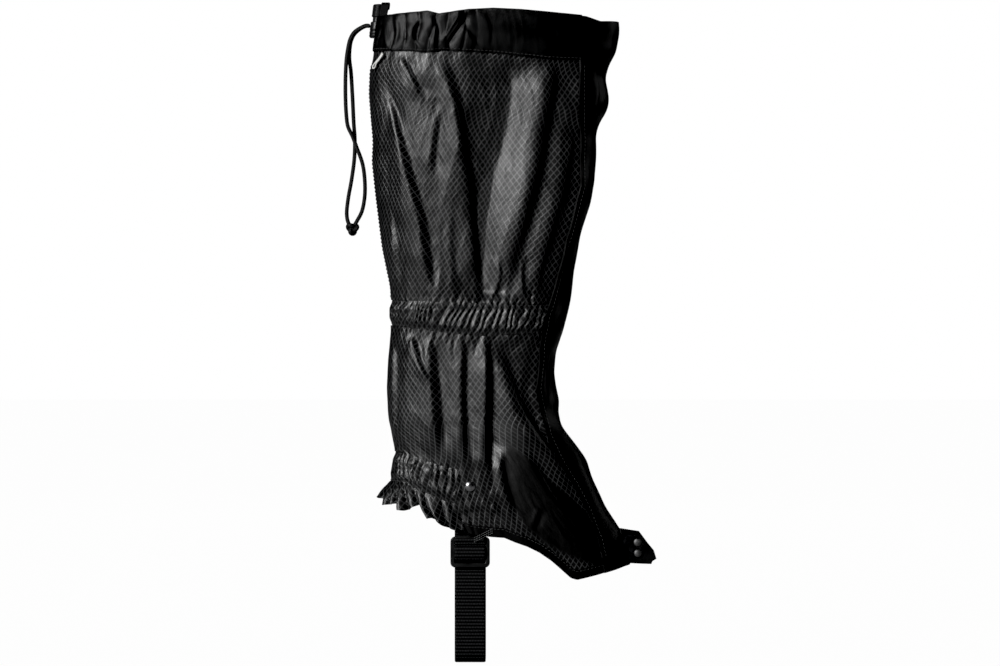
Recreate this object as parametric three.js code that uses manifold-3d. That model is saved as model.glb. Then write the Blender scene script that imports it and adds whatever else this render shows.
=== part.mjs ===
// A knee-high walking gaiter: one leg tube of thin coated cloth with a drawcord hem, an elastic band
// at mid calf, an elastic band round the heel, a storm flap closed by hook-and-loop tape down the
// front, a lace hook on the toe tab and a webbing stirrup that passes under the boot.
// Units are millimetres. +X points to the toe, +Z up, and -Y to the outer side of the leg.
// The origin is the centre of the mid-calf band.
import * as THREE from 'three';
import * as BufferGeometryUtils from 'three/addons/utils/BufferGeometryUtils.js';
import Module from 'manifold-3d';

const wasm = await Module();
wasm.setup();

// ---- driving dimensions -------------------------------------------------------------------------

const GAP = 0.3;
const CLOTH = 1.6;
const ROUNDNESS = 2.6;
const ROW_CLEAR = 4;

// Horizontal sections of the leg tube: height, heel-side edge, toe-side edge, half width in Y.
const SECTIONS = [
  [250, -71, 113, 41],
  [236, -76, 113, 42],
  [205, -85, 106, 42],
  [150, -86, 98, 41],
  [105, -82, 93, 40],
  [80, -79, 88, 39],
  [40, -71, 79, 37],
  [0, -70, 71, 36],
  [-20, -71, 67, 36],
  [-60, -73, 62, 37],
  [-97, -70, 73, 38],
  [-118, -68, 86, 38],
  [-136, -71, 96, 38],
  [-158, -77, 111, 38],
  [-180, -78, 118, 38],
  [-216, -78, 126, 36],
];

// Height of the bottom hem along the boot, from heel to toe.
const HEM_LINE = [[-90, -146], [-78, -149], [-48, -161], [-20, -172], [9, -179], [35, -181], [60, -193],
  [79, -213], [102, -208], [124, -201], [140, -199]];

// Where the storm flap is sewn on, and how far round the shin it reaches.
const SEAM_LINE = [[-216, 106], [-180, 99.5], [-158, 90], [-136, 79], [-118, 68], [-97, 58], [-60, 49],
  [-20, 53], [0, 57], [40, 68], [80, 79], [105, 85], [250, 84]];
const WRAP_ANGLES = [[-216, 20], [-158, 22], [-97, 28], [0, 30], [105, 28], [250, 6]];

const HEM_TOP = 246;
const HEM_BOTTOM = 205;
const HEM_REAR_GAP = 5;
const HEM_WALL = 1.3;
const HEM_CHANNEL = 6.4;
const BAND_HALF = 12.5;
const FLAP_SPLIT = 105;
const FLAP_TOP = 244;

const ANKLE_TOP = [[-90, -110], [-60, -111], [-18, -122], [30, -126]];
const ANKLE_BOTTOM = [[-90, -134], [-60, -136], [-18, -149], [30, -152]];
const ANKLE_END_X = -17;
const BINDING = 9;

const RIVET_X = -5.6;
const RIVET_Z = -138;
const RIVET_HEAD_R = 4.25;
const RIVET_POST_R = 1.5;

const WEB_WIDTH = 25;
const WEB_THICK = 1.4;
const WEB_Y = 30.8;
const STRAP_BOTTOM = -280.5;
const STRAP_CORNER = 9;
const TAIL_LENGTH = 34;

const BUCKLE_WIDTH = 31.4;
const BUCKLE_TOP = -179.5;
const BUCKLE_BOTTOM = -203.5;
const BUCKLE_THICK = 3.2;
const BUCKLE_SLOTS = [[-183.2, -188.2], [-195, -200.2]];
const SLOT_WIDTH = 26;

const CORD_R = 1.5;
const CORD_SIDES = 8;
const CORD_Z = 236;
const CORD_SPREAD = 2;
const LOCK_X = -83;
const LOCK_TRAVEL = 4;

const OUTER = -1;
const INNER = 1;

// ---- the leg surface ----------------------------------------------------------------------------

// Straight interpolation in a table of [key, value] rows with rising or falling keys.
function along(rows, key) {
  const rising = rows[rows.length - 1][0] > rows[0][0];
  const ordered = rising ? rows : [...rows].reverse();
  const last = ordered.length - 1;
  const at = THREE.MathUtils.clamp(key, ordered[0][0], ordered[last][0]);
  let i = 0;
  while (i < last - 1 && at > ordered[i + 1][0]) {
    i += 1;
  }
  const share = (at - ordered[i][0]) / (ordered[i + 1][0] - ordered[i][0]);
  return THREE.MathUtils.lerp(ordered[i][1], ordered[i + 1][1], share);
}

function sectionAt(z) {
  const back = along(SECTIONS.map((row) => [row[0], row[1]]), z);
  const front = along(SECTIONS.map((row) => [row[0], row[2]]), z);
  const half = along(SECTIONS.map((row) => [row[0], row[3]]), z);
  return { centre: (back + front) / 2, reach: (front - back) / 2, half };
}

// A point of the leg tube. The angle is 0 at the shin, 90 on the inner side and 180 at the calf;
// negative angles run round the outer side. The offset is along the surface's outward side.
function legPoint(angle, z, offset = 0) {
  const { centre, reach, half } = sectionAt(z);
  const radians = THREE.MathUtils.degToRad(angle);
  const c = Math.cos(radians);
  const s = Math.sin(radians);
  const power = 2 / ROUNDNESS;
  const x = centre + (reach + offset) * Math.sign(c) * Math.abs(c) ** power;
  const y = (half + offset) * Math.sign(s) * Math.abs(s) ** power;
  return new THREE.Vector3(x, y, z);
}

function angleAtX(x, z, side) {
  const { centre, reach } = sectionAt(z);
  const share = THREE.MathUtils.clamp((x - centre) / reach, -1, 1);
  const cosine = Math.sign(share) * Math.abs(share) ** (ROUNDNESS / 2);
  return side * THREE.MathUtils.radToDeg(Math.acos(cosine));
}

const seamAngle = (z) => angleAtX(along(SEAM_LINE, z), z, OUTER);
const wrapAngle = (z) => along(WRAP_ANGLES, z);
const ankleAngle = (z, side) => angleAtX(ANKLE_END_X, z, side);

// The height at which a line drawn over the leg, given as [x, height] rows, crosses an angle.
function heightOn(line, angle) {
  let z = along(line, 0);
  for (let i = 0; i < 30; i += 1) {
    z = (z + along(line, legPoint(angle, z).x)) / 2;
  }
  return z;
}

const hemHeight = (angle) => heightOn(HEM_LINE, angle);

// ---- solids -------------------------------------------------------------------------------------

function solidFrom(vertices, triangles) {
  const positions = vertices.flatMap((v) => [v.x, v.y, v.z]);
  let volume = 0;
  const cross = new THREE.Vector3();
  triangles.forEach(([i, j, k]) => {
    volume += vertices[i].dot(cross.crossVectors(vertices[j], vertices[k]));
  });
  const facing = volume > 0 ? triangles : triangles.map(([i, j, k]) => [i, k, j]);
  const geometry = new THREE.BufferGeometry();
  geometry.setAttribute('position', new THREE.Float32BufferAttribute(positions, 3));
  geometry.setIndex(facing.flat());
  return geometry;
}

// The ends of a strip whose outline runs up one side and down the other.
function stripCaps(count) {
  const caps = [];
  for (let i = 0; i < count / 2 - 1; i += 1) {
    caps.push([i, i + 1, count - 2 - i], [i, count - 2 - i, count - 1 - i]);
  }
  return caps;
}

function outlineCaps(outline) {
  return THREE.ShapeUtils.triangulateShape(outline.map(([u, v]) => new THREE.Vector2(u, v)), []);
}

// A closed solid through rings of points, with both end rings filled by the caps' triangles.
function loft(rings, caps, flip) {
  const count = rings[0].length;
  const triangles = [];
  for (let r = 0; r < rings.length - 1; r += 1) {
    for (let i = 0; i < count; i += 1) {
      const a = r * count + i;
      const b = r * count + ((i + 1) % count);
      triangles.push([a, b, b + count], [a, b + count, a + count]);
    }
  }
  const end = (rings.length - 1) * count;
  caps.forEach(([i, j, k]) => {
    const [first, second] = flip ? [k, j] : [j, k];
    triangles.push([i, second, first], [i + end, first + end, second + end]);
  });
  return solidFrom(rings.flat(), triangles);
}

// Cloth that follows the leg tube: from angle start(z) to stop(z), with a profile of [offset, z].
// First and last pick a part of the steps, so that stacked layers share their facets.
function sweepOnLeg(profile, { start, stop, steps, first = 0, last = steps, isStrip = false }) {
  const rings = [];
  for (let i = first; i <= last; i += 1) {
    const u = i / steps;
    rings.push(profile(u).map(([offset, z]) => legPoint(THREE.MathUtils.lerp(start(z), stop(z), u), z, offset)));
  }
  const outline = profile(first / steps);
  const clockwise = THREE.ShapeUtils.area(outline.map(([u, v]) => new THREE.Vector2(u, v))) < 0;
  return isStrip ? loft(rings, stripCaps(outline.length), false) : loft(rings, outlineCaps(outline), clockwise);
}

// A sheet between two heights, each a number or a function of the angle. Its rows are the section
// heights that lie well inside it all the way round.
function sheetOnLeg({ low, high, start, stop, steps, first = 0, last = steps, outside = 0, thick = CLOTH }) {
  const heightAt = (limit, u) => {
    if (typeof limit === 'number') {
      return limit;
    }
    let z = limit(THREE.MathUtils.lerp(start(-100), stop(-100), u));
    for (let i = 0; i < 8; i += 1) {
      z = limit(THREE.MathUtils.lerp(start(z), stop(z), u));
    }
    return z;
  };
  const samples = [];
  for (let i = first; i <= last; i += 1) {
    samples.push(i / steps);
  }
  const lowest = Math.max(...samples.map((u) => heightAt(low, u))) + ROW_CLEAR;
  const highest = Math.min(...samples.map((u) => heightAt(high, u))) - ROW_CLEAR;
  const rows = SECTIONS.map((row) => row[0]).filter((z) => z > lowest && z < highest).reverse();
  const profile = (u) => {
    const heights = [heightAt(low, u), ...rows, heightAt(high, u)];
    const outerSide = heights.map((z) => [outside, z]);
    const innerSide = heights.map((z) => [outside - thick, z]).reverse();
    return [...outerSide, ...innerSide];
  };
  return sweepOnLeg(profile, { start, stop, steps, first, last, isStrip: true });
}

// A flat outline of [u, v] points, extruded and centred on its depth.
function plate(points, depth, holes = []) {
  const shape = new THREE.Shape(points.map(([u, v]) => new THREE.Vector2(u, v)));
  holes.forEach((hole) => shape.holes.push(hole));
  const geometry = new THREE.ExtrudeGeometry(shape, { depth, bevelEnabled: false, curveSegments: 4 });
  return geometry.translate(0, 0, -depth / 2);
}

function roundedOutline(width, height, radius, segments = 4) {
  const points = [];
  const corners = [[1, 1, 0], [-1, 1, 90], [-1, -1, 180], [1, -1, 270]];
  corners.forEach(([sx, sy, from]) => {
    for (let i = 0; i <= segments; i += 1) {
      const angle = THREE.MathUtils.degToRad(from + (90 * i) / segments);
      const x = sx * (width / 2 - radius) + radius * Math.cos(angle);
      const y = sy * (height / 2 - radius) + radius * Math.sin(angle);
      points.push([x, y]);
    }
  });
  return points;
}

// A strip of webbing: its edge-on path in the YZ plane, given thickness, extruded along X.
function webbing(path, width = WEB_WIDTH, thick = WEB_THICK) {
  const left = [];
  const right = [];
  path.forEach(([y, z], i) => {
    const before = path[Math.max(i - 1, 0)];
    const after = path[Math.min(i + 1, path.length - 1)];
    const inward = new THREE.Vector2(y - before[0], z - before[1]);
    const outward = new THREE.Vector2(after[0] - y, after[1] - z);
    const first = i > 0 ? inward.normalize() : outward.clone().normalize();
    const second = i < path.length - 1 ? outward.normalize() : first.clone();
    const middle = first.clone().add(second).normalize();
    const reach = thick / 2 / Math.max(middle.dot(second), 0.5);
    left.push([y - middle.y * reach, z + middle.x * reach]);
    right.unshift([y + middle.y * reach, z - middle.x * reach]);
  });
  const geometry = plate([...left, ...right], width);
  geometry.rotateX(Math.PI / 2).rotateZ(Math.PI / 2);
  return geometry;
}

function cordTube(points, steps, radius = CORD_R, sides = CORD_SIDES) {
  const outline = new THREE.Shape();
  for (let i = 0; i < sides; i += 1) {
    const angle = (i / sides) * Math.PI * 2;
    const x = radius * Math.cos(angle);
    const y = radius * Math.sin(angle);
    if (i === 0) {
      outline.moveTo(x, y);
    } else {
      outline.lineTo(x, y);
    }
  }
  const route = new THREE.CatmullRomCurve3(points.map(([x, y, z]) => new THREE.Vector3(x, y, z)), false, 'centripetal');
  return new THREE.ExtrudeGeometry(outline, { steps, extrudePath: route });
}

// A turned solid about the Y axis; the profile runs upwards on its outer side.
function lathe(profile, segments = 16) {
  const points = profile.map(([r, h]) => new THREE.Vector2(r, h));
  const area = THREE.ShapeUtils.area([...points]);
  return new THREE.LatheGeometry(area > 0 ? points : points.reverse(), segments);
}

function toManifold(geometry) {
  const bare = geometry.clone();
  bare.deleteAttribute('normal');
  bare.deleteAttribute('uv');
  const merged = BufferGeometryUtils.mergeVertices(bare, 1e-4);
  const vertProperties = new Float32Array(merged.attributes.position.array);
  const triVerts = new Uint32Array(merged.index.array);
  return new wasm.Manifold(new wasm.Mesh({ numProp: 3, vertProperties, triVerts }));
}

function fromManifold(solid) {
  const mesh = solid.getMesh();
  const geometry = new THREE.BufferGeometry();
  geometry.setAttribute('position', new THREE.BufferAttribute(mesh.vertProperties, 3));
  geometry.setIndex(new THREE.BufferAttribute(mesh.triVerts, 1));
  return geometry;
}

function cut(geometry, ...tools) {
  return fromManifold(tools.reduce((solid, tool) => solid.subtract(toManifold(tool)), toManifold(geometry)));
}

function join(geometry, ...others) {
  return fromManifold(others.reduce((solid, other) => solid.add(toManifold(other)), toManifold(geometry)));
}

function pinAlongY(radius, length, x, y, z) {
  return new THREE.CylinderGeometry(radius, radius, length, 16).translate(x, y, z);
}

// ---- materials and naming -----------------------------------------------------------------------

const finishes = {
  ripstop: { color: 0x232325, roughness: 0.5, metalness: 0 },
  plainCloth: { color: 0x161617, roughness: 0.45, metalness: 0 },
  tape: { color: 0x121213, roughness: 0.9, metalness: 0 },
  elastic: { color: 0x1c1c1e, roughness: 0.8, metalness: 0 },
  web: { color: 0x18181a, roughness: 0.75, metalness: 0 },
  cord: { color: 0x141416, roughness: 0.7, metalness: 0 },
  plastic: { color: 0x1a1a1c, roughness: 0.4, metalness: 0 },
  metal: { color: 0x8d8f92, roughness: 0.3, metalness: 1 },
  darkMetal: { color: 0x55575a, roughness: 0.35, metalness: 1 },
  whitePlastic: { color: 0xf2f2f0, roughness: 0.4, metalness: 0 },
};

const group = new THREE.Group();

function add(name, geometry, finish) {
  const mesh = new THREE.Mesh(geometry, new THREE.MeshStandardMaterial(finishes[finish]));
  mesh.name = name;
  group.add(mesh);
  return mesh;
}

// ---- leg tube -----------------------------------------------------------------------------------

// Each side runs from the front closure to the calf seam. A half degree is left at every seam.
const SEAM_CLEAR = 0.5;
const frontEdge = {
  outer: (z) => seamAngle(z) - SEAM_CLEAR,
  inner: (z) => wrapAngle(z) + SEAM_CLEAR * 2,
};
const calfEdge = {
  outer: () => -180 + SEAM_CLEAR,
  inner: () => 180 - SEAM_CLEAR,
};
const sides = { outer: OUTER, inner: INNER };

// The top hem is folded down inside itself and leaves a channel for the drawcord.
function hemProfile() {
  const channel = HEM_CHANNEL;
  const wall = HEM_WALL;
  const inside = -(2 * wall + channel);
  return [[0, HEM_BOTTOM], [0, HEM_TOP], [inside, HEM_TOP], [inside, HEM_BOTTOM], [inside + wall, HEM_BOTTOM],
    [inside + wall, HEM_TOP - wall], [-wall, HEM_TOP - wall], [-wall, HEM_BOTTOM]];
}

Object.entries(sides).forEach(([name, side]) => {
  const front = frontEdge[name];
  const calf = calfEdge[name];
  const hemEnd = (z) => {
    const { half } = sectionAt(z);
    const sine = (HEM_REAR_GAP / half) ** (ROUNDNESS / 2);
    return side * (180 - THREE.MathUtils.radToDeg(Math.asin(sine)));
  };
  add(`top_hem_${name}`, sweepOnLeg(hemProfile, { start: front, stop: hemEnd, steps: 14 }), 'plainCloth');

  const upper = { low: BAND_HALF + GAP, high: HEM_BOTTOM - GAP, start: front, stop: calf, steps: 12 };
  add(`upper_panel_${name}`, sheetOnLeg(upper), 'ripstop');

  const band = { low: -BAND_HALF, high: BAND_HALF, start: front, stop: calf, steps: 12 };
  add(`calf_band_casing_${name}`, sheetOnLeg({ ...band, thick: 1.2 }), 'ripstop');
  add(`calf_band_facing_${name}`, sheetOnLeg({ ...band, outside: -3.6, thick: 1.2 }), 'plainCloth');

  const ankle = (z) => ankleAngle(z, side);
  const ankleInside = (z) => ankleAngle(z, side) + side * SEAM_CLEAR;
  const ankleTop = (angle) => heightOn(ANKLE_TOP, angle);
  const ankleBottom = (angle) => heightOn(ANKLE_BOTTOM, angle);
  const lowerRear = { low: (angle) => ankleTop(angle) + GAP, high: -BAND_HALF - GAP };
  add(`lower_panel_${name}`, sheetOnLeg({ ...lowerRear, start: ankleInside, stop: calf, steps: 8 }), 'ripstop');

  const cuff = { low: ankleBottom, high: ankleTop, start: ankleInside, stop: calf, steps: 8 };
  add(`heel_band_casing_${name}`, sheetOnLeg({ ...cuff, thick: 1.2 }), 'ripstop');

  const frill = { low: hemHeight, high: (angle) => ankleBottom(angle) - GAP };
  add(`heel_frill_${name}`, sheetOnLeg({ ...frill, start: ankleInside, stop: calf, steps: 8 }), 'ripstop');

  const instep = { low: (angle) => hemHeight(angle) + BINDING + GAP, high: -BAND_HALF - GAP };
  const instepSheet = sheetOnLeg({ ...instep, start: front, stop: ankle, steps: 8 });
  const post = pinAlongY(RIVET_POST_R + 0.2, 30, RIVET_X, side * 36, RIVET_Z);
  add(`instep_panel_${name}`, cut(instepSheet, post), 'ripstop');

  const binding = { low: hemHeight, high: (angle) => hemHeight(angle) + BINDING };
  add(`hem_binding_${name}`, sheetOnLeg({ ...binding, start: front, stop: ankle, steps: 8, thick: 1 }), 'plainCloth');
});

// Elastic tapes lie inside their casings, each in one piece round the calf or the heel.
add('calf_elastic', sheetOnLeg({
  low: -BAND_HALF + 1,
  high: BAND_HALF - 1,
  start: (z) => seamAngle(z) - 3,
  stop: (z) => wrapAngle(z) + 3 - 360,
  steps: 24,
  outside: -1.6,
  thick: 1.5,
}), 'elastic');
add('heel_elastic', sheetOnLeg({
  low: (angle) => heightOn(ANKLE_BOTTOM, angle) + 1,
  high: (angle) => heightOn(ANKLE_TOP, angle) - 1,
  start: (z) => ankleAngle(z, OUTER) - 2,
  stop: (z) => ankleAngle(z, INNER) + 2 - 360,
  steps: 16,
  outside: -1.6,
  thick: 1.5,
}), 'elastic');

// ---- front closure ------------------------------------------------------------------------------

// Layers from outside in: flap cloth, hook tape, loop tape, underlap. The flap's upper length can
// peel open about its seam, the lower length stays shut and carries the toe tab.
const FRONT_STEPS = 10;
const front = { start: (z) => seamAngle(z) + SEAM_CLEAR * 3, stop: wrapAngle, steps: FRONT_STEPS };
const tapeSpan = { ...front, first: 1, last: FRONT_STEPS - 1, thick: 1 };
const hemMargin = (margin) => (angle) => hemHeight(angle) + margin;
const FLAP_PARTS = {
  upper: { cloth: FLAP_SPLIT + GAP, tape: FLAP_SPLIT + 3, top: FLAP_TOP },
  lower: { cloth: hemHeight, tape: hemMargin(8), top: FLAP_SPLIT },
};
Object.entries(FLAP_PARTS).forEach(([name, part]) => {
  add(`storm_flap_${name}`, sheetOnLeg({ ...front, low: part.cloth, high: part.top }), 'plainCloth');
  const hookTape = { ...tapeSpan, low: part.tape, high: part.top - 3, outside: -2.4 };
  add(`hook_tape_${name}`, sheetOnLeg(hookTape), 'tape');
});
const loopTape = { ...tapeSpan, low: hemMargin(8), high: FLAP_TOP - 3, outside: -4.2 };
add('loop_tape', sheetOnLeg(loopTape), 'tape');
const underlap = { ...front, first: 1, low: hemMargin(1), high: FLAP_TOP, outside: -6, thick: 1.4 };
add('underlap', sheetOnLeg(underlap), 'plainCloth');

// ---- toe tab and lace hook ----------------------------------------------------------------------

const TAB_Y = -11.2;
const TAB_THICK = 2.6;
const TAB_FACE = TAB_Y - TAB_THICK / 2;
const TAB_OUTLINE = [[115.5, -173], [125, -174.5], [131.5, -175.5], [138.5, -185], [143.5, -191], [146, -198],
  [142.5, -200], [141.5, -202.5], [134, -202.3], [122.5, -201.5]];
const HOOK_CENTRE = [130.4, -189];
const HOOK_RIVETS = [[130.3, -184.6], [130.6, -193.4]];
const HOOK_THICK = 0.8;
const HOOK_WIDTH = 13;
const HOOK_TURN = -53;

const tab = plate(TAB_OUTLINE, TAB_THICK).rotateX(Math.PI / 2).translate(0, TAB_Y, 0);
const tabHoles = HOOK_RIVETS.map(([x, z]) => pinAlongY(1.2, 12, x, TAB_Y, z));
add('toe_tab', cut(tab, ...tabHoles), 'plainCloth');

// The hook is a bent metal strip: a plate on the tab and a tongue that stands off it and points
// back to the leg, so that a boot lace slips in under it.
const hookRun = [[0, -5.6], [0, 5.4], [-0.9, 6.8], [-2, 8], [-2.6, 9.6], [-2.4, 13.6]];
const hookBend = webbing(hookRun, HOOK_WIDTH, HOOK_THICK).rotateY(THREE.MathUtils.degToRad(HOOK_TURN));
hookBend.translate(HOOK_CENTRE[0], TAB_FACE - GAP - HOOK_THICK / 2, HOOK_CENTRE[1]);
const hookHoles = HOOK_RIVETS.map(([x, z]) => pinAlongY(1.2, 3, x, TAB_FACE - GAP, z));
add('lace_hook', cut(hookBend, ...hookHoles), 'darkMetal');

HOOK_RIVETS.forEach(([x, z], i) => {
  const headBase = HOOK_THICK + 2 * GAP;
  const profile = [[0, -TAB_THICK], [1, -TAB_THICK], [1, headBase], [2.6, headBase], [1.8, headBase + 1.1],
    [0, headBase + 1.4]];
  const rivet = lathe(profile, 12).rotateX(Math.PI);
  add(`hook_rivet_${i + 1}`, rivet.translate(x, TAB_FACE, z), 'metal');
});

// ---- stirrup anchors ----------------------------------------------------------------------------

Object.entries(sides).forEach(([name, side]) => {
  const faceY = Math.abs(legPoint(angleAtX(RIVET_X, RIVET_Z, side), RIVET_Z).y);
  const base = faceY + GAP;
  const tip = WEB_Y - WEB_THICK / 2 - 2.2;
  const head = [[0, base + 2.1], [1.8, base + 1.8], [3.3, base + 1.1], [RIVET_HEAD_R, base], [RIVET_POST_R, base],
    [RIVET_POST_R, tip], [0, tip]];
  const turned = lathe(head).translate(RIVET_X, 0, 0);
  const washer = [[RIVET_POST_R + 0.2, tip + 1.3], [3.6, tip + 1.3], [3.6, tip + 0.3], [RIVET_POST_R + 0.2, tip + 0.3],
    [RIVET_POST_R + 0.2, tip + 1.3]];
  const ring = lathe(washer).translate(RIVET_X, 0, 0);
  const turn = side === OUTER ? Math.PI : 0;
  add(`anchor_rivet_${name}`, turned.rotateX(turn).translate(0, 0, RIVET_Z), 'metal');
  add(`anchor_washer_${name}`, ring.rotateX(turn).translate(0, 0, RIVET_Z), 'metal');
});

// ---- stirrup ------------------------------------------------------------------------------------

function cornerArc(centreY, centreZ, radius, from, to) {
  const points = [];
  for (let i = 0; i <= 5; i += 1) {
    const angle = THREE.MathUtils.degToRad(THREE.MathUtils.lerp(from, to, i / 5));
    points.push([centreY + radius * Math.cos(angle), centreZ + radius * Math.sin(angle)]);
  }
  return points;
}

const ANCHOR_TOP = RIVET_Z + 9;
const BUCKLE_BACK = -(WEB_Y + WEB_THICK / 2 + GAP);
const BUCKLE_FRONT = BUCKLE_BACK - BUCKLE_THICK;
const WRAP_Y = BUCKLE_FRONT - GAP - WEB_THICK / 2;
const hole = (side) => pinAlongY(RIVET_POST_R + 0.3, 12, RIVET_X, side * WEB_Y, RIVET_Z);

// The outer anchor hangs from its rivet and is looped round the buckle's top bar.
const upperSlotTop = BUCKLE_SLOTS[0][0] - GAP - WEB_THICK / 2;
const outerAnchor = webbing([[-WEB_Y, ANCHOR_TOP], [-WEB_Y, upperSlotTop + 1], [-WEB_Y - 0.8, upperSlotTop],
  [WRAP_Y + 0.8, upperSlotTop], [WRAP_Y, upperSlotTop + 1], [WRAP_Y, BUCKLE_TOP - 1.5]]);
outerAnchor.translate(RIVET_X, 0, 0);
add('anchor_webbing_outer', cut(outerAnchor, hole(OUTER)), 'web');

const bar = roundedOutline(BUCKLE_WIDTH, BUCKLE_TOP - BUCKLE_BOTTOM, 4);
const buckleCentre = (BUCKLE_TOP + BUCKLE_BOTTOM) / 2;
const slots = BUCKLE_SLOTS.map(([top, bottom]) => {
  const outline = roundedOutline(SLOT_WIDTH + 0.8, top - bottom, 1, 2);
  return new THREE.Path(outline.map(([u, v]) => new THREE.Vector2(u, v + (top + bottom) / 2 - buckleCentre)));
});
const buckle = plate(bar, BUCKLE_THICK, slots).rotateX(Math.PI / 2);
buckle.translate(RIVET_X, (BUCKLE_BACK + BUCKLE_FRONT) / 2, buckleCentre);
add('strap_buckle', buckle, 'plastic');

// The strap runs from the inner rivet down, under the boot and up to the buckle, where it passes
// over the middle bar and hangs back down as a short tail.
const lowerSlot = BUCKLE_SLOTS[1][0] - GAP - WEB_THICK / 2;
const upperSlot = BUCKLE_SLOTS[0][1] + GAP + WEB_THICK / 2;
const TAIL_Y = -WEB_Y + WEB_THICK + 2 * GAP;
const strapPath = [
  [WEB_Y, ANCHOR_TOP],
  ...cornerArc(WEB_Y - STRAP_CORNER, STRAP_BOTTOM + STRAP_CORNER, STRAP_CORNER, 0, -90),
  ...cornerArc(-WEB_Y + STRAP_CORNER, STRAP_BOTTOM + STRAP_CORNER, STRAP_CORNER, -90, -180),
  [-WEB_Y, lowerSlot - 1],
  [-WEB_Y - 0.8, lowerSlot],
  [WRAP_Y + 0.8, lowerSlot],
  [WRAP_Y, lowerSlot + 1],
  [WRAP_Y, upperSlot - 1],
  [WRAP_Y + 0.8, upperSlot],
  [TAIL_Y - 0.8, upperSlot],
  [TAIL_Y, upperSlot - 1],
  [TAIL_Y, upperSlot - TAIL_LENGTH],
];
const strap = webbing(strapPath).translate(RIVET_X, 0, 0);
add('underfoot_strap', cut(strap, hole(INNER)), 'web');

// ---- drawcord -----------------------------------------------------------------------------------

// Inside the hem each length starts at the front closure and leaves through the gap at the calf.
const CHANNEL_OFFSET = -HEM_WALL - HEM_CHANNEL / 2;
const LOCK_HALF_X = 4;
const cordEnd = LOCK_X - LOCK_HALF_X;
Object.entries(sides).forEach(([name, side]) => {
  const points = [];
  const from = frontEdge[name](CORD_Z) + side * 9;
  const to = side * 163;
  for (let i = 0; i <= 14; i += 1) {
    const at = legPoint(THREE.MathUtils.lerp(from, to, i / 14), CORD_Z, CHANNEL_OFFSET);
    points.push([at.x, at.y, at.z]);
  }
  points.push([-71.5, side * 4.4, CORD_Z], [-76, side * 2.1, CORD_Z], [-80, side * CORD_SPREAD, CORD_Z]);
  points.push([cordEnd, side * CORD_SPREAD, CORD_Z]);
  add(`hem_cord_${name}`, cordTube(points, 30), 'cord');
});

// Past the lock both strands hang free behind the calf and end in one knot.
const OUTER_STRAND = [[-87.3, -2, 236], [-90.5, -2, 236.3], [-95, -2.2, 234.5], [-100.5, -2.8, 230.5],
  [-103.6, -3.4, 225], [-105.2, -3.8, 218.5], [-106.6, -4, 209], [-107.3, -4, 198], [-107.5, -3.8, 181],
  [-106.9, -3.4, 165], [-105.5, -3.2, 154], [-101.8, -3.2, 146], [-98.4, -3.2, 137], [-93.6, -3.2, 123.5],
  [-91.8, -3.2, 110.5], [-91.8, -3, 97], [-94.2, -2.6, 84.5], [-98.2, -1.8, 76.8]];
const INNER_STRAND = [[-87.3, 2, 236], [-90.5, 2, 236.2], [-95, 1.8, 234.2], [-100, 1.4, 230],
  [-102.9, 1, 224.5], [-104.2, 0.8, 217], [-104.4, 0.6, 209], [-103.2, 0.6, 199], [-101.9, 0.6, 178],
  [-100.9, 0.6, 157], [-100, 0.6, 143.5], [-100.4, 0.6, 128], [-102.6, 0.6, 111], [-105.6, 0.6, 94],
  [-106.6, 0.4, 82.5], [-105.4, -0.6, 75.8]];
add('drawcord_strand_outer', cordTube(OUTER_STRAND, 36), 'cord');
add('drawcord_strand_inner', cordTube(INNER_STRAND, 36), 'cord');

const KNOT = [[0, -5], [2.4, -4.4], [4.2, -2.2], [4.6, 0], [4.2, 2], [2.6, 3.4], [0, 3.8]];
add('drawcord_knot', lathe(KNOT, 14).rotateX(Math.PI / 2).translate(-101.8, -1.2, 70.6), 'cord');

// ---- cord lock ----------------------------------------------------------------------------------

const LOCK_BOTTOM = CORD_Z - 9.6;
const LOCK_TOP = CORD_Z + 3.4;
const LOCK_WIDTH = 14;
const POCKET_FLOOR = LOCK_BOTTOM + 1.2;
const lockOutline = (x, y) => roundedOutline(x, y, x / 2 - 0.05, 5);
const prism = (x, y, low, high) => plate(lockOutline(x, y), high - low).translate(LOCK_X, 0, (low + high) / 2);
const slotBox = (low, high) => new THREE.BoxGeometry(20, 7.8, high - low).translate(LOCK_X, 0, (low + high) / 2);

const lockShell = prism(2 * LOCK_HALF_X, LOCK_WIDTH, LOCK_BOTTOM, LOCK_TOP);
const pocket = prism(5.6, 11.6, POCKET_FLOOR, LOCK_TOP + 1);
const cordSlot = slotBox(CORD_Z - 1.8, CORD_Z + 1.8);
add('cord_lock_body', cut(lockShell, pocket, cordSlot), 'plastic');

const stemBottom = CORD_Z - 3;
const headBottom = LOCK_TOP + LOCK_TRAVEL + GAP;
const stem = prism(5, 11, stemBottom, headBottom + 1);
const head = prism(7, 13, headBottom, headBottom + 5.4);
const stemSlot = slotBox(CORD_Z - 1.8, CORD_Z + 1.8 + LOCK_TRAVEL);
add('cord_lock_button', cut(join(stem, head), stemSlot), 'plastic');

const SPRING_TURNS = 4;
const springLow = POCKET_FLOOR + GAP + 0.35;
const springHigh = stemBottom - GAP - 0.35;
const springPoints = [];
for (let i = 0; i <= SPRING_TURNS * 8; i += 1) {
  const angle = (i / 8) * Math.PI * 2;
  const height = THREE.MathUtils.lerp(springLow, springHigh, i / (SPRING_TURNS * 8));
  springPoints.push([LOCK_X + 1.9 * Math.cos(angle), 1.9 * Math.sin(angle), height]);
}
add('cord_lock_spring', cordTube(springPoints, SPRING_TURNS * 12, 0.3, 5), 'metal');

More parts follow.
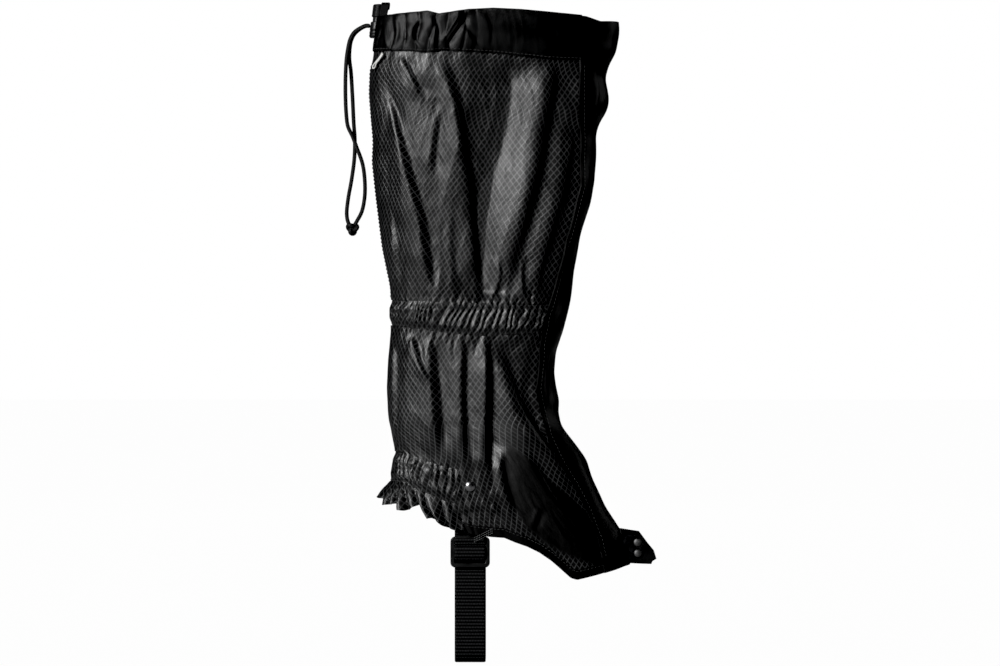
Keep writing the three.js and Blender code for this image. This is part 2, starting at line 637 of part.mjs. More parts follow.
// A narrow tape holds the lock to the hem; it lies beside the lock on the outer side.
const tabRun = [[-73, 250.6], [-79, 252], [-78.2, 247], [-77.2, 240], [-77.6, 232], [-80.6, 222], [-81.4, 217.5]];
const lockTab = webbing(tabRun, 4.5, 1.1).rotateZ(-Math.PI / 2).translate(0, -10, 0);
add('cord_lock_tape', lockTab, 'web');

// A white plastic loop through the tape's lower end carries nothing but a label in the shop.
const TAG_RING = [[-86.8, -11.4, 203], [-85, -16, 206.6], [-81.2, -19.2, 210], [-77.8, -21.4, 212.2]];
add('tag_loop', cordTube(TAG_RING, 8, 0.9, 6), 'whitePlastic');

export default group;
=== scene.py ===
"""A knee-high walking gaiter in black ripstop, seen from its outer side.

Lengths in this script are millimetres in the frame's axes, and each mesh is written in metres.
"""
import math

import bpy
import numpy as np
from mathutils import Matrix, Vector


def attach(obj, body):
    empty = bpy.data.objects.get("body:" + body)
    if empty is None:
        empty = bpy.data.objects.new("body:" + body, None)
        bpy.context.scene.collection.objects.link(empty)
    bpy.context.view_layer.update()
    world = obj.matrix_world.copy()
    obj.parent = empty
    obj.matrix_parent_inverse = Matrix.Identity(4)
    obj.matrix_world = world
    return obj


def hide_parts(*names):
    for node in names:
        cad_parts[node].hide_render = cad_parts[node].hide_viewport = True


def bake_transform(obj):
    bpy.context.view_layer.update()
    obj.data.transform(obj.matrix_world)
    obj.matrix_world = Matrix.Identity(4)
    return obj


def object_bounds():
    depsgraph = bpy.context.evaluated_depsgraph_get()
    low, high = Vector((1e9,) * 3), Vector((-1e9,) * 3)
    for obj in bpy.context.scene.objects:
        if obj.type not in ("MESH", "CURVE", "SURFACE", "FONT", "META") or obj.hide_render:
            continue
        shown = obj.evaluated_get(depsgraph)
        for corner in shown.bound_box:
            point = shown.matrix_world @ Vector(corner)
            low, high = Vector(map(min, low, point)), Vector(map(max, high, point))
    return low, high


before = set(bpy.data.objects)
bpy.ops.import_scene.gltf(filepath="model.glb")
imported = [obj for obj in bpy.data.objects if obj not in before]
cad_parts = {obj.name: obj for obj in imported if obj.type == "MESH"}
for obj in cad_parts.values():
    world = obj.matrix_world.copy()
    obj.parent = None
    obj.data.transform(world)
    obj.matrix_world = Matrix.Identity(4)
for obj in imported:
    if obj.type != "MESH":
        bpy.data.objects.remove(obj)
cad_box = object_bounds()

MM = 0.001
OUTER, INNER = -1, 1
SIDES = (("outer", OUTER), ("inner", INNER))
# Power of the leg's oval section: 2 is an ellipse, and more is squarer.
ROUNDNESS = 2.6
SHARP = math.radians(62)

# ---- outlines of the leg tube ---------------------------------------------------------------

# Rows of [height, x]: the calf edge and the shin edge, and of [height, half width in Y].
CALF_LINE = [[-216, -78], [-160, -78], [-149, -79], [-141, -76], [-134, -70.5], [-124, -68.5], [-112, -67],
             [-97, -70], [-84, -72.8], [-60, -74.2], [-40, -73.3], [-13, -70.5], [12, -70.2], [25, -71.7],
             [57, -78.2], [95, -83], [125, -86.2], [142, -85.4], [180, -88.6], [200, -88], [208, -85.5],
             [236, -82], [250, -79]]
SHIN_LINE = [[-216, 126], [-180, 118], [-168, 111], [-156, 103.2], [-143, 98.3], [-130, 91.9], [-117, 87],
             [-104, 77.4], [-90, 66.5], [-78, 63.4], [-71, 64.5], [-58, 62.8], [-46, 62.1], [-30, 63.4],
             [-13, 69.3], [12, 73.3], [38, 77.4], [64, 83.8], [90, 90.3], [109, 93.5], [147, 95.9], [157, 99],
             [166, 104.6], [175, 106.3], [184, 105.2], [193, 103.2], [205, 106.4], [213, 110.8], [231, 113.6],
             [250, 113]]
HALF_LINE = [[-216, 36], [-180, 38], [-97, 38], [-60, 37], [0, 36], [40, 37], [80, 39], [105, 40], [150, 41],
             [205, 42], [236, 42], [250, 41]]

# Lines drawn over the leg as rows of [x, height].
HEM_TOP_LINE = [[-76, 243], [-39, 245.5], [-30, 243], [-7, 246.4], [13, 247.4], [35, 246.4], [67, 243.6],
                [87, 242], [99, 238.5], [113, 239.5]]
HEM_SEAM_LINE = [[-85, 214.5], [-55, 213], [-40, 211.5], [-27, 213], [15, 210.5], [58, 206], [110, 205]]
BAND_TOP_LINE = [[-72, 12.5], [-6, 9.8], [50, 8.9], [75, 10]]
BAND_LOW_LINE = [[-72, -8], [-26, -14.5], [4, -17], [45, -15.5], [75, -14]]
ANKLE_TOP_LINE = [[-90, -110], [-60, -111], [-31, -121], [-9, -126], [30, -128]]
ANKLE_LOW_LINE = [[-90, -134], [-60, -136], [-26, -150], [-10, -154], [30, -156]]
FRILL_LINE = [[-90, -146], [-79, -148.3], [-74.5, -149], [-72.5, -154], [-63, -152.3], [-62, -157.2],
              [-55.6, -158], [-45, -152.6], [-39.5, -164.4], [-34.7, -163.6], [-25.8, -170], [-18, -173.5]]
HEM_LINE = [[-22, -172], [-2, -177.5], [12, -179], [22, -179.7], [31, -183.5], [41, -187], [51, -191.8],
            [60.5, -198.3], [70, -206.3], [77, -212.5], [81, -213.8], [99, -209.6], [118, -204], [140, -199]]

# Rows of [height, x] for the flap's seam, and of [height, angle] for its free edge.
SEAM_LINE = [[-216, 106], [-180, 99.5], [-158, 90], [-136, 79], [-118, 68], [-97, 58], [-60, 49], [-20, 53],
             [0, 57], [40, 68], [80, 79], [105, 85], [250, 84]]
WRAP_LINE = [[-216, 20], [-158, 22], [-97, 28], [0, 30], [105, 28], [250, 6]]
# The heel's cloth ends at this X, where the instep's begins.
ANKLE_END_X = -10.5
# Angles where the cloth ends at the calf: the panels, the hem, and the rows of stitches on both.
CALF_END, HEM_END, CALF_ROW_END, HEM_ROW_END, CALF_SEAM = 179.75, 171.5, 179.0, 171.0, 178.2

EASE = 6.0


def along(rows, key):
    rows = sorted(rows)
    return np.interp(key, [r[0] for r in rows], [r[1] for r in rows])


def eased(rows, key, window=EASE):
    """The table's value averaged over a window, so that its corners turn into curves."""
    steps = np.linspace(-window, window, 7)
    return sum(along(rows, np.asarray(key, float) + step) for step in steps) / len(steps)


def smooth(value, low=0.0, high=1.0):
    t = np.clip((np.asarray(value, float) - low) / (high - low), 0, 1)
    return t * t * (3 - 2 * t)


def section(z):
    back, front = eased(CALF_LINE, z, 4), eased(SHIN_LINE, z, 4)
    return (back + front) / 2, (front - back) / 2, eased(HALF_LINE, z)


def leg(angle, z, offset=0.0):
    """A point of the leg tube: angle 0 at the shin, 90 on the inner side, 180 at the calf."""
    centre, reach, half = section(z)
    c, s = np.cos(np.radians(angle)), np.sin(np.radians(angle))
    power = 2 / ROUNDNESS
    x = centre + (reach + offset) * np.sign(c) * np.abs(c) ** power
    y = (half + offset) * np.sign(s) * np.abs(s) ** power
    return np.stack([x, y, z + 0 * x], axis=-1)


def angle_at(x, z, side):
    centre, reach, _ = section(z)
    share = np.clip((x - centre) / reach, -1, 1)
    return side * np.degrees(np.arccos(np.sign(share) * np.abs(share) ** (ROUNDNESS / 2)))


# Distance round the leg from the middle of the shin, tabled by height and angle.
TABLE_Z = np.arange(-225.0, 261.0, 3.0)
TABLE_ANGLE = np.arange(-360.0, 361.0, 1.0)


def arc_table():
    steps = np.linalg.norm(np.diff(leg(*np.meshgrid(TABLE_ANGLE, TABLE_Z)), axis=1), axis=2)
    arc = np.concatenate([np.zeros((len(TABLE_Z), 1)), np.cumsum(steps, axis=1)], axis=1)
    return arc - arc[:, TABLE_ANGLE == 0]


TABLE_ARC = arc_table()


def arc_at(angle, z):
    row = np.clip((z - TABLE_Z[0]) / (TABLE_Z[1] - TABLE_Z[0]), 0, len(TABLE_Z) - 1.001)
    column = np.clip(angle - TABLE_ANGLE[0], 0, len(TABLE_ANGLE) - 1.001)
    i, j = row.astype(int), column.astype(int)
    a, b = row - i, column - j
    low = TABLE_ARC[i, j] * (1 - b) + TABLE_ARC[i, j + 1] * b
    high = TABLE_ARC[i + 1, j] * (1 - b) + TABLE_ARC[i + 1, j + 1] * b
    return low * (1 - a) + high * a


def noise(u, v, seed):
    """Smooth random values between about -1 and 1 from a lattice of random slopes, one cell to a unit."""
    size = 64
    turn = np.random.default_rng(seed).uniform(0, 2 * np.pi, (size, size))
    i, j = np.floor(u).astype(int), np.floor(v).astype(int)
    a, b = u - i, v - j

    def corner(di, dj):
        slope = turn[(i + di) % size, (j + dj) % size]
        return np.cos(slope) * (a - di) + np.sin(slope) * (b - dj)

    ease_a, ease_b = a ** 3 * (a * (a * 6 - 15) + 10), b ** 3 * (b * (b * 6 - 15) + 10)
    near = corner(0, 0) * (1 - ease_a) + corner(1, 0) * ease_a
    far = corner(0, 1) * (1 - ease_a) + corner(1, 1) * ease_a
    return 1.5 * (near * (1 - ease_b) + far * ease_b)


# ---- how the cloth lies ---------------------------------------------------------------------

# A fold drops the cloth on its shin side by a steep wall and lets it rise again slowly. Rows of
# (drop, half width of the wall, reach towards the calf, reach towards the shin, [x, height] line).
OUTER_FOLDS = [
    (4.6, 1.5, 24, 16, [[-76, 192], [-72.9, 176.5], [-65.6, 156.4], [-59, 131.4], [-51, 101.6], [-43.8, 75],
                        [-40.3, 47.6], [-36, 21.8], [-34, 10]]),
    (2.2, 1.4, 13, 9, [[-72.5, 95], [-71.7, 87], [-66.9, 62], [-62.9, 25.8], [-62, 14]]),
    (3.0, 1.4, 10, 9, [[-62, 214], [-59.6, 208], [-54, 196.7], [-47.6, 185.4], [-45, 172]]),
    (2.6, 1.8, 9, 9, [[-29, 170], [-30.6, 159.6], [-35.5, 134.6], [-36.6, 122], [-37, 110]]),
    (2.0, 2.5, 9, 8, [[-18, 92], [-21, 70], [-20, 45], [-18, 20], [-17, 8]]),
    (7.0, 2.4, 22, 34, [[-28.2, 214], [-21, 189.4], [-13.7, 166.8], [-12, 152.3], [-8.9, 129], [-4.8, 105.6],
                        [-3.2, 76.6], [0, 47.6], [0.8, 18.5], [1, 8]]),
    (11.5, 5.8, 28, 15, [[64, 218], [62, 190], [58, 160.4], [53, 134.6], [48.4, 108.8], [43, 87.9],
                         [36.6, 65.3], [31.4, 44.3], [27.4, 21.8], [26, 8]]),
    (6.5, 4.0, 12, 12, [[80, 158], [79, 140], [74, 120], [71, 98.3], [65, 79.8], [58, 54.8], [52, 29],
                        [49, 8]]),
    (2.4, 1.3, 6, 6, [[17, 50], [21, 34], [17.5, 20], [14, 8]]),
    (2.6, 1.5, 7, 7, [[44, 52], [39, 38], [38.5, 24], [40, 8]]),
    (2.4, 1.2, 7, 6, [[-68.5, -6], [-67, -30], [-67, -70], [-66.5, -105]]),
    (3.4, 1.6, 9, 8, [[-53.5, -8], [-52.4, -15.3], [-47.6, -33], [-41, -46], [-38, -58]]),
    (6.5, 2.5, 15, 12, [[-38.5, -10], [-37, -20], [-34.7, -47.6], [-32.2, -70], [-31, -92.7], [-30.4, -118]]),
    (5.0, 1.9, 12, 10, [[-9.7, -10], [-9.9, -21.8], [-10.5, -60.5], [-9.7, -92.7], [-8.9, -128]]),
    (6.5, 2.3, 12, 9, [[10.8, -12], [10.3, -26.6], [9.7, -60.5], [8.9, -92.7], [8.9, -137.8], [10, -150]]),
    (11.0, 6.6, 24, 18, [[18.5, -12], [19.5, -24.2], [27, -49.2], [34, -70], [43.5, -86.2], [55, -102.4],
                        [65, -113.6], [80, -127]]),
    (4.0, 3.0, 13, 10, [[38, -104], [50, -124], [62, -146], [78, -162], [92, -172], [104, -182]]),
    (3.4, 2.2, 8, 8, [[22, -108], [20.5, -120], [22, -135], [27, -150], [29.5, -168]]),
    (2.6, 1.8, 5, 5, [[53, -154], [49, -164], [45, -175]]),
]
INNER_FOLDS = [
    (6.0, 2.2, 18, 16, [[-70, 190], [-60, 160], [-52, 125], [-47, 90], [-42, 50], [-38, 8]]),
    (7.5, 2.8, 22, 18, [[-22, 210], [-24, 180], [-18, 150], [-12, 115], [-9, 70], [-6, 8]]),
    (8.0, 4.0, 22, 18, [[48, 205], [40, 175], [37, 140], [30, 100], [25, 60], [22, 8]]),
    (4.0, 2.4, 14, 12, [[78, 190], [70, 150], [62, 110], [54, 60], [46, 8]]),
    (3.0, 1.6, 9, 9, [[8, 120], [3, 90], [8, 50], [10, 20]]),
    (3.4, 1.6, 9, 9, [[-58, 80], [-62, 55], [-58, 20], [-56, 8]]),
    (4.5, 2.0, 12, 10, [[-50, -10], [-46, -45], [-47, -80], [-43, -112]]),
    (6.5, 2.4, 16, 12, [[-22, -12], [-20, -50], [-22, -90], [-18, -126]]),
    (6.0, 2.4, 14, 12, [[8, -14], [12, -50], [8, -95], [12, -140]]),
    (7.5, 4.0, 18, 14, [[26, -14], [32, -50], [42, -85], [58, -112], [78, -130]]),
    (3.4, 2.4, 10, 9, [[36, -126], [48, -145], [62, -168], [74, -184]]),
]
HEM_FOLDS = [
    (2.4, 1.1, 6, 5, [[-44, 240], [-51.5, 227], [-46, 219], [-41, 213]]),
    (3.2, 1.2, 7, 6, [[-34.4, 243], [-30.5, 229], [-32, 217], [-33, 210]]),
    (3.0, 1.0, 5, 5, [[-7, 245], [-13, 233], [-20.4, 224.5], [-26, 214]]),
    (1.8, 1.0, 4, 4, [[-10.5, 244], [-17, 233], [-24, 224], [-28, 216]]),
    (1.6, 1.6, 6, 6, [[-10, 235], [-5, 225], [1, 218], [4, 211]]),
    (1.8, 1.0, 6, 5, [[4.5, 246], [9, 238.6], [11.7, 228.7], [10, 214]]),
    (2.2, 1.3, 5, 5, [[-64, 243], [-60, 230], [-63, 216]]),
]
FLAP_FOLDS = [
    (2.6, 2.2, 9, 8, [[96, 200], [98, 180], [94, 150], [91, 120]]),
    (3.4, 2.6, 10, 8, [[72, 70], [70, 45], [64, 20], [60, -8]]),
    (3.6, 2.4, 9, 8, [[57, -24], [56, -50], [58, -76]]),
    (3.0, 2.6, 9, 9, [[78, -108], [88, -128], [98, -150], [108, -172]]),
]
# The least and the most length over which a fold dies away at its ends.
FOLD_FADE = (8.0, 40.0)

# A crease is a valley between two flat facets. Rows of (depth, reach to calf, reach to shin, line).
OUTER_CREASES = [
    (7.5, 36, 32, [[31, 219], [30, 205], [29, 185], [27, 162], [23, 141], [16, 120], [9, 98], [5, 72],
                   [5, 20], [5, 2], [6, -8]]),
    (2.2, 20, 18, [[-40, 200], [-32, 170], [-32, 140], [-32, 110], [-28, 60], [-24, 20]]),
    (5.5, 4, 28, [[11, -10], [10.5, -60], [10, -95], [11, -124]]),
    (2.4, 16, 14, [[-76, 205], [-72, 170], [-76, 130], [-73, 90], [-70, 50]]),
    (2.2, 9, 8, [[58, 206], [63, 198], [68, 188], [76, 192], [80, 206]]),
]
# Folds that run across the ankle, given as [height, x].
OUTER_CROSS_FOLDS = [
    (-5.0, 1.8, 6, 8, [[-153.9, -26.6], [-160.4, -13.7], [-155.6, -2.4], [-157.2, 13.7], [-168.5, 25]]),
    (-2.4, 1.5, 6, 6, [[-141, -4], [-144, 8], [-150, 18], [-160, 26]]),
]
INNER_CREASES = [
    (4.0, 26, 22, [[16, 205], [12, 180], [10, 150], [8, 125], [4, 100]]),
]


def past_line(line, x, z):
    """How far x lies past a line of [x, height] points, and the line's lowest and highest height."""
    rows = sorted([height, place] for place, height in line)
    return x - eased(rows, z), rows[0][0], rows[-1][0]


def fold_offset(folds, x, z):
    total = np.zeros_like(x)
    for drop, wall, before, after, line in folds:
        u, low, high = past_line(line, x, z)
        reach = np.where(u < 0, before, after)
        fade = float(np.clip(0.3 * (high - low), *FOLD_FADE))
        strength = smooth(z, low, low + fade) * (1 - smooth(z, high - fade, high))
        total -= drop / 2 * np.tanh(u / wall) * np.exp(-(np.abs(u) / reach) ** 1.6) * strength
    return total


def crease_offset(creases, x, z):
    total = np.zeros_like(x)
    for depth, before, after, line in creases:
        u, low, high = past_line(line, x, z)
        share = np.clip(1 - np.sqrt(u ** 2 + 1.0) / np.where(u < 0, before, after), 0, 1)
        total -= depth * share * smooth(z, low, low + 24) * (1 - smooth(z, high - 30, high))
    return total


def pleat(phase):
    """A row of rounded ridges, one to each unit, with a narrow crease between them."""
    return np.abs(np.sin(np.pi * phase)) ** 0.65 - 0.62


def gathers(s, z, distance, pitch, slant, seed):
    """Pleats that a sewn row draws into the cloth, dying away with the distance from it."""
    wander = 0.55 * noise(s / 23, z / 60, seed) + 0.2 * noise(s / 9, z / 40, seed + 1)
    fine = pleat((s + slant * z) / pitch + wander)
    broad = pleat((s + slant * z) / (2.6 * pitch) + 1.7 * wander)
    size = 0.7 + 0.45 * noise(s / 11, z / 90, seed + 2)
    return size * (1.25 * fine * np.exp(-distance / 6.5) + 1.5 * broad * np.exp(-(distance / 19) ** 1.5))


def crumple(s, z, seed):
    large = noise(s / 15, z / 52, seed) * 0.9 + noise(s / 8 + z / 80, z / 27, seed + 1) * 0.35
    ridges = 1 - np.abs(noise(s / 11 + z / 60, z / 38 - s / 90, seed + 2))
    return large + 0.5 * ridges ** 5 + 0.08 * noise(s / 4.2, z / 9, seed + 3)


def leg_shape(angle, z, side):
    """How far the shell stands off the leg surface, from the top hem down to the bottom hem."""
    x = leg(angle, z)[..., 0]
    s = arc_at(angle, z)
    folds = OUTER_FOLDS if side == OUTER else INNER_FOLDS
    above = z > (along(BAND_TOP_LINE, x) + along(BAND_LOW_LINE, x)) / 2
    to_band = np.where(above, z - along(BAND_TOP_LINE, x), along(BAND_LOW_LINE, x) - z)
    to_hem = along(HEM_SEAM_LINE, x) - z
    behind = x < ANKLE_END_X + 22
    to_ankle = np.where(behind, z - along(ANKLE_TOP_LINE, x), 60)
    near_edge = np.minimum(to_band, np.minimum(to_hem, to_ankle))
    held = 0.3 + 0.7 * smooth(near_edge, 0, 11)
    to_calf = np.abs(np.abs(s) - np.abs(arc_at(side * 180 + 0 * angle, z)))
    to_seam = np.abs(s - arc_at(front_edge(z, side), z))
    sides = smooth(to_calf, 1, 13) * smooth(to_seam, 0, 7)
    creases = OUTER_CREASES if side == OUTER else INNER_CREASES
    lie = fold_offset(folds, x, z) + crease_offset(creases, x, z)
    if side == OUTER:
        lie += fold_offset(OUTER_CROSS_FOLDS, z, x)
    offset = (lie + 0.5 * crumple(s, z, 11 + side)) * held * sides
    offset += gathers(s, z, np.maximum(to_band, 0), 6.2, -0.12, 21) * smooth(to_calf, 0, 3)
    offset += 0.6 * gathers(s, z, np.maximum(to_hem, 0), 9.0, 0.2, 31) * (x < 40)
    heel = smooth(ANKLE_END_X + 22 - x, 0, 16)
    offset += gathers(s, z, np.maximum(to_ankle, 0), 6.6, -0.2, 41) * heel * smooth(to_calf, 0, 3)
    return np.clip(offset, -8, 6.5) - 0.4


def band_shape(angle, z, side, top_line, low_line, pitch, slant, seed):
    """An elastic casing: pleats bulge between two sewn rows that draw the cloth in."""
    x = leg(angle, z)[..., 0]
    s = arc_at(angle, z)
    to_row = np.minimum(along(top_line, x) - z, z - along(low_line, x))
    wander = 0.8 * noise(s / 17, z / 40, seed) + 0.34 * noise(s / 8, z / 14, seed + 1)
    size = 1.25 + 0.6 * noise(s / 7, z / 12, seed + 2)
    puff = size * pleat((s - slant * z) / pitch + wander) * (0.45 + 0.75 * smooth(to_row, 0, 7))
    belly = 1.9 * smooth(to_row, -0.5, 7.5)
    return puff + belly - 1.1


def calf_band_shape(angle, z, side):
    return band_shape(angle, z, side, BAND_TOP_LINE, BAND_LOW_LINE, 5.4, 0.16, 51)


def run_out(angle, z, side, offset):
    """Fades a heel shape into the instep cloth where the two meet."""
    share = smooth(ANKLE_END_X - leg(angle, z)[..., 0], 0.5, 11)
    return leg_shape(angle, z, side) * (1 - share) + offset * share


def heel_band_shape(angle, z, side):
    puffs = band_shape(angle, z, side, ANKLE_TOP_LINE, ANKLE_LOW_LINE, 6.3, 0.42, 61)
    return run_out(angle, z, side, puffs)


def frill_shape(angle, z, side):
    """Loose cloth under the heel band: it flares and waves more towards its edge."""
    x = leg(angle, z)[..., 0]
    s = arc_at(angle, z)
    below = np.maximum(along(ANKLE_LOW_LINE, x) - z, 0)
    wave = pleat(s / 8.3 + 0.5 * noise(s / 17, z / 30, 71) + 0.02 * below)
    flat = smooth(x, -34, -10)
    flare = (0.25 * below + wave * (1.0 + 0.22 * below)) * (1 - 0.75 * flat) + 0.5 * crumple(s, z, 75) - 1.0
    return run_out(angle, z, side, flare)


def hem_shape(angle, z, side):
    """The drawcord hem: crumpled where the cord gathers it at the calf, smooth towards the shin."""
    x = leg(angle, z)[..., 0] - (0 if side == OUTER else 7)
    s = arc_at(angle, z)
    gathered = smooth(-x, -20, 30)
    offset = fold_offset(HEM_FOLDS, x, z) * (0.35 + 0.65 * smooth(-x, -14, 10))
    offset += gathered * (0.9 * crumple(s, z, 81) + 1.3 * pleat(s / 12 + 0.4 * noise(s / 20, z / 30, 85)))
    return offset + 0.3 * crumple(s, z, 88) + 0.9


def flap_shape(angle, z, side=OUTER):
    """The storm flap: stiffer, doubled cloth with long shallow waves down its length."""
    x = leg(angle, z)[..., 0]
    s = arc_at(angle, z)
    waves = 0.9 * np.sin(z / 16.5 + 0.6) * smooth(s, -30, 8) + 0.8 * noise(s / 16, z / 27, 91)
    dents = fold_offset(FLAP_FOLDS, x, z)
    return 1.0 + waves + dents * smooth(np.abs(s), 2, 12) + 0.25 * crumple(s, z, 93)


def front_edge(z, side):
    """The angle where a side's cloth meets the front closure."""
    if side == OUTER:
        return angle_at(along(SEAM_LINE, z), z, OUTER)
    return along(WRAP_LINE, z)


# ---- meshes ---------------------------------------------------------------------------------

def new_mesh(name, vertices, faces, uv=None, marks=None):
    """A smooth closed mesh in metres from millimetre vertices; uv holds cloth coordinates in metres.

    The faces are one array, or a list of arrays with different corner counts.
    """
    vertices = np.asarray(vertices, float).reshape(-1, 3) * MM
    groups = [np.asarray(group, int) for group in (faces if isinstance(faces, list) else [faces])]
    volume = 0.0
    for group in groups:
        first = vertices[group[:, 0]]
        for k in range(1, group.shape[1] - 1):
            volume += np.sum(first * np.cross(vertices[group[:, k]], vertices[group[:, k + 1]]))
    if volume < 0:
        groups = [group[:, ::-1] for group in groups]
    corners = np.concatenate([group.ravel() for group in groups])
    sizes = np.concatenate([np.full(len(group), group.shape[1]) for group in groups])
    mesh = bpy.data.meshes.new(name)
    mesh.vertices.add(len(vertices))
    mesh.vertices.foreach_set("co", vertices.astype(np.float32).ravel())
    mesh.loops.add(len(corners))
    mesh.loops.foreach_set("vertex_index", corners.astype(np.int32))
    mesh.polygons.add(len(sizes))
    mesh.polygons.foreach_set("loop_start", (np.cumsum(sizes) - sizes).astype(np.int32))
    mesh.polygons.foreach_set("use_smooth", np.ones(len(sizes), bool))
    if uv is not None:
        layer = mesh.uv_layers.new(name="cloth")
        layer.data.foreach_set("uv", np.asarray(uv, np.float32)[corners].ravel())
    for key, values in (marks or {}).items():
        mesh.attributes.new(key, "FLOAT", "POINT").data.foreach_set("value", np.asarray(values, np.float32))
    mesh.update()
    mesh.validate()
    mesh.set_sharp_from_angle(angle=SHARP)
    return placed(name, mesh)


def placed(name, data):
    """A new object in the scene for a mesh, a curve, a lamp or a camera."""
    thing = bpy.data.objects.new(name, data)
    bpy.context.scene.collection.objects.link(thing)
    return thing


def circle(count):
    """Evenly spaced angles round a circle."""
    return np.linspace(0, 2 * np.pi, count, endpoint=False)


def grid_faces(nu, nv, close_v=False):
    i, j = np.meshgrid(np.arange(nu - 1), np.arange(nv if close_v else nv - 1), indexing="ij")
    i, j = i.ravel(), j.ravel()
    k, m = i + 1, (j + 1) % nv
    return np.stack([i * nv + j, k * nv + j, k * nv + m, i * nv + m], axis=1)


def sheet_faces(nu, nv):
    """Two grids, front then back, joined by a rim."""
    front = grid_faces(nu, nv)
    back = front[:, ::-1] + nu * nv
    i, j = np.arange(nu - 1), np.arange(nv - 1)
    rims = []
    for a, b in ((i * nv, (i + 1) * nv), ((i + 1) * nv + nv - 1, i * nv + nv - 1),
                 (j + 1, j), ((nu - 1) * nv + j, (nu - 1) * nv + j + 1)):
        rims.append(np.stack([b, a, a + nu * nv, b + nu * nv], axis=1))
    return np.concatenate([front, back, *rims])


# How often the search for an angle halves its range, and how often a height is corrected.
HALVINGS, CORRECTIONS = 22, 24


def end_caps(rows, columns):
    """The two faces that close a tube of rings at its first and last ring."""
    return np.stack([np.arange(columns)[::-1], np.arange(columns) + (rows - 1) * columns])


def pole_caps(rows, columns):
    """Triangles from a tube's first and last ring to the two points stored after its rings."""
    k, last, pole = np.arange(columns), (rows - 1) * columns, rows * columns
    after = (k + 1) % columns
    return np.concatenate([np.stack([pole + 0 * k, after, k], axis=1),
                           np.stack([pole + 1 + 0 * k, last + k, last + after], axis=1)])


def span_angles(start, stop, share, z):
    """The angle a share of the way round the cloth from start to stop, at each height."""
    low, high = arc_at(start(z), z), arc_at(stop(z), z)
    target = low + (high - low) * share
    a, b = np.minimum(start(z), stop(z)) - 1, np.maximum(start(z), stop(z)) + 1
    for _ in range(HALVINGS):
        middle = (a + b) / 2
        below = arc_at(middle, z) < target
        a, b = np.where(below, middle, a), np.where(below, b, middle)
    return (a + b) / 2


def edge_height(edge, start, stop, share):
    """The height at which a line given as [x, height] rows crosses each column of the cloth."""
    z = along(edge, 0) + 0 * share
    for _ in range(CORRECTIONS):
        z = 0.5 * z + 0.5 * along(edge, leg(span_angles(start, stop, share, z), z)[..., 0])
    return z


def cloth(name, start, stop, low, high, shape, side, thick=0.9, step=1.0, lift=0.0, marks=None):
    """Cloth that follows the leg between two edges, shaped by a function of angle and height."""
    middle = np.array([(edge_height(low, start, stop, np.array([0.5]))[0]
                        + edge_height(high, start, stop, np.array([0.5]))[0]) / 2])
    width = abs(arc_at(stop(middle), middle) - arc_at(start(middle), middle))[0]
    nu = int(width / step) + 2
    share = np.linspace(0, 1, nu)
    bottom, top = edge_height(low, start, stop, share), edge_height(high, start, stop, share)
    nv = int(np.max(top - bottom) / (step * 1.15)) + 3
    up = np.linspace(0, 1, nv)
    z = bottom[:, None] + (top - bottom)[:, None] * up[None, :]
    angle = span_angles(start, stop, share[:, None] + 0 * z, z)
    offset = shape(angle, z, side) + lift
    front = leg(angle, z, offset)
    back = leg(angle, z, offset - thick)
    flat = np.stack([arc_at(angle, z), z], axis=-1).reshape(-1, 2) * MM
    values = None if marks is None else {key: np.tile(f(angle, z).ravel(), 2) for key, f in marks.items()}
    thing = new_mesh(name, np.concatenate([front.reshape(-1, 3), back.reshape(-1, 3)]), sheet_faces(nu, nv),
                     np.tile(flat, (2, 1)), values)
    return thing, cut_size(front)


def cut_size(face):
    """Width, length and area in metres of a grid of points, measured over its folds."""
    width = np.linalg.norm(np.diff(face, axis=0), axis=2).sum(0).max()
    length = np.linalg.norm(np.diff(face, axis=1), axis=2).sum(1).max()
    across = np.cross(face[1:, 1:] - face[:-1, :-1], face[1:, :-1] - face[:-1, 1:])
    return width * MM, length * MM, np.linalg.norm(across, axis=2).sum() / 2 * MM ** 2


def lengths_along(path):
    """The distance from the start of a path to each of its points."""
    return np.concatenate([[0], np.cumsum(np.linalg.norm(np.diff(path, axis=0), axis=1))])


def directions(path):
    tangents = np.gradient(path, axis=0)
    return tangents / np.linalg.norm(tangents, axis=1)[:, None]


def tube(name, points, radius, sides=16, spacing=0.6, relief=None):
    """A round cord through the points, its ends closed and rounded, with cloth coordinates along it."""
    route = curve_through(points, spacing)
    tangents, lengths = directions(route), lengths_along(route)
    across = np.cross(tangents[0], [0.3, 0.9, 0.2])
    rings, uv = [], []
    turn = circle(sides)
    inset = np.minimum(lengths, lengths[-1] - lengths)
    for centre, tangent, length, margin in zip(route, tangents, lengths, inset):
        across = across - tangent * np.dot(across, tangent)
        across /= np.linalg.norm(across)
        other = np.cross(tangent, across)
        rounding = math.sqrt(max(0.0, 1 - max(0.0, 1 - margin / (0.7 * radius)) ** 2)) * 0.97 + 0.03
        r = radius * rounding * (1 + (relief(turn, length) if relief else 0 * turn))
        rings.append(centre + r[:, None] * (np.cos(turn)[:, None] * across + np.sin(turn)[:, None] * other))
        uv += [(radius * a, length) for a in turn]
    rings = np.array(rings)
    faces = grid_faces(len(rings), sides, close_v=True)
    vertices = np.concatenate([rings.reshape(-1, 3), route[[0, -1]]])
    uv = np.array(uv + [(0, lengths[0]), (0, lengths[-1])]) * MM
    return new_mesh(name, vertices, [faces, pole_caps(len(rings), sides)], uv), route, lengths[-1]


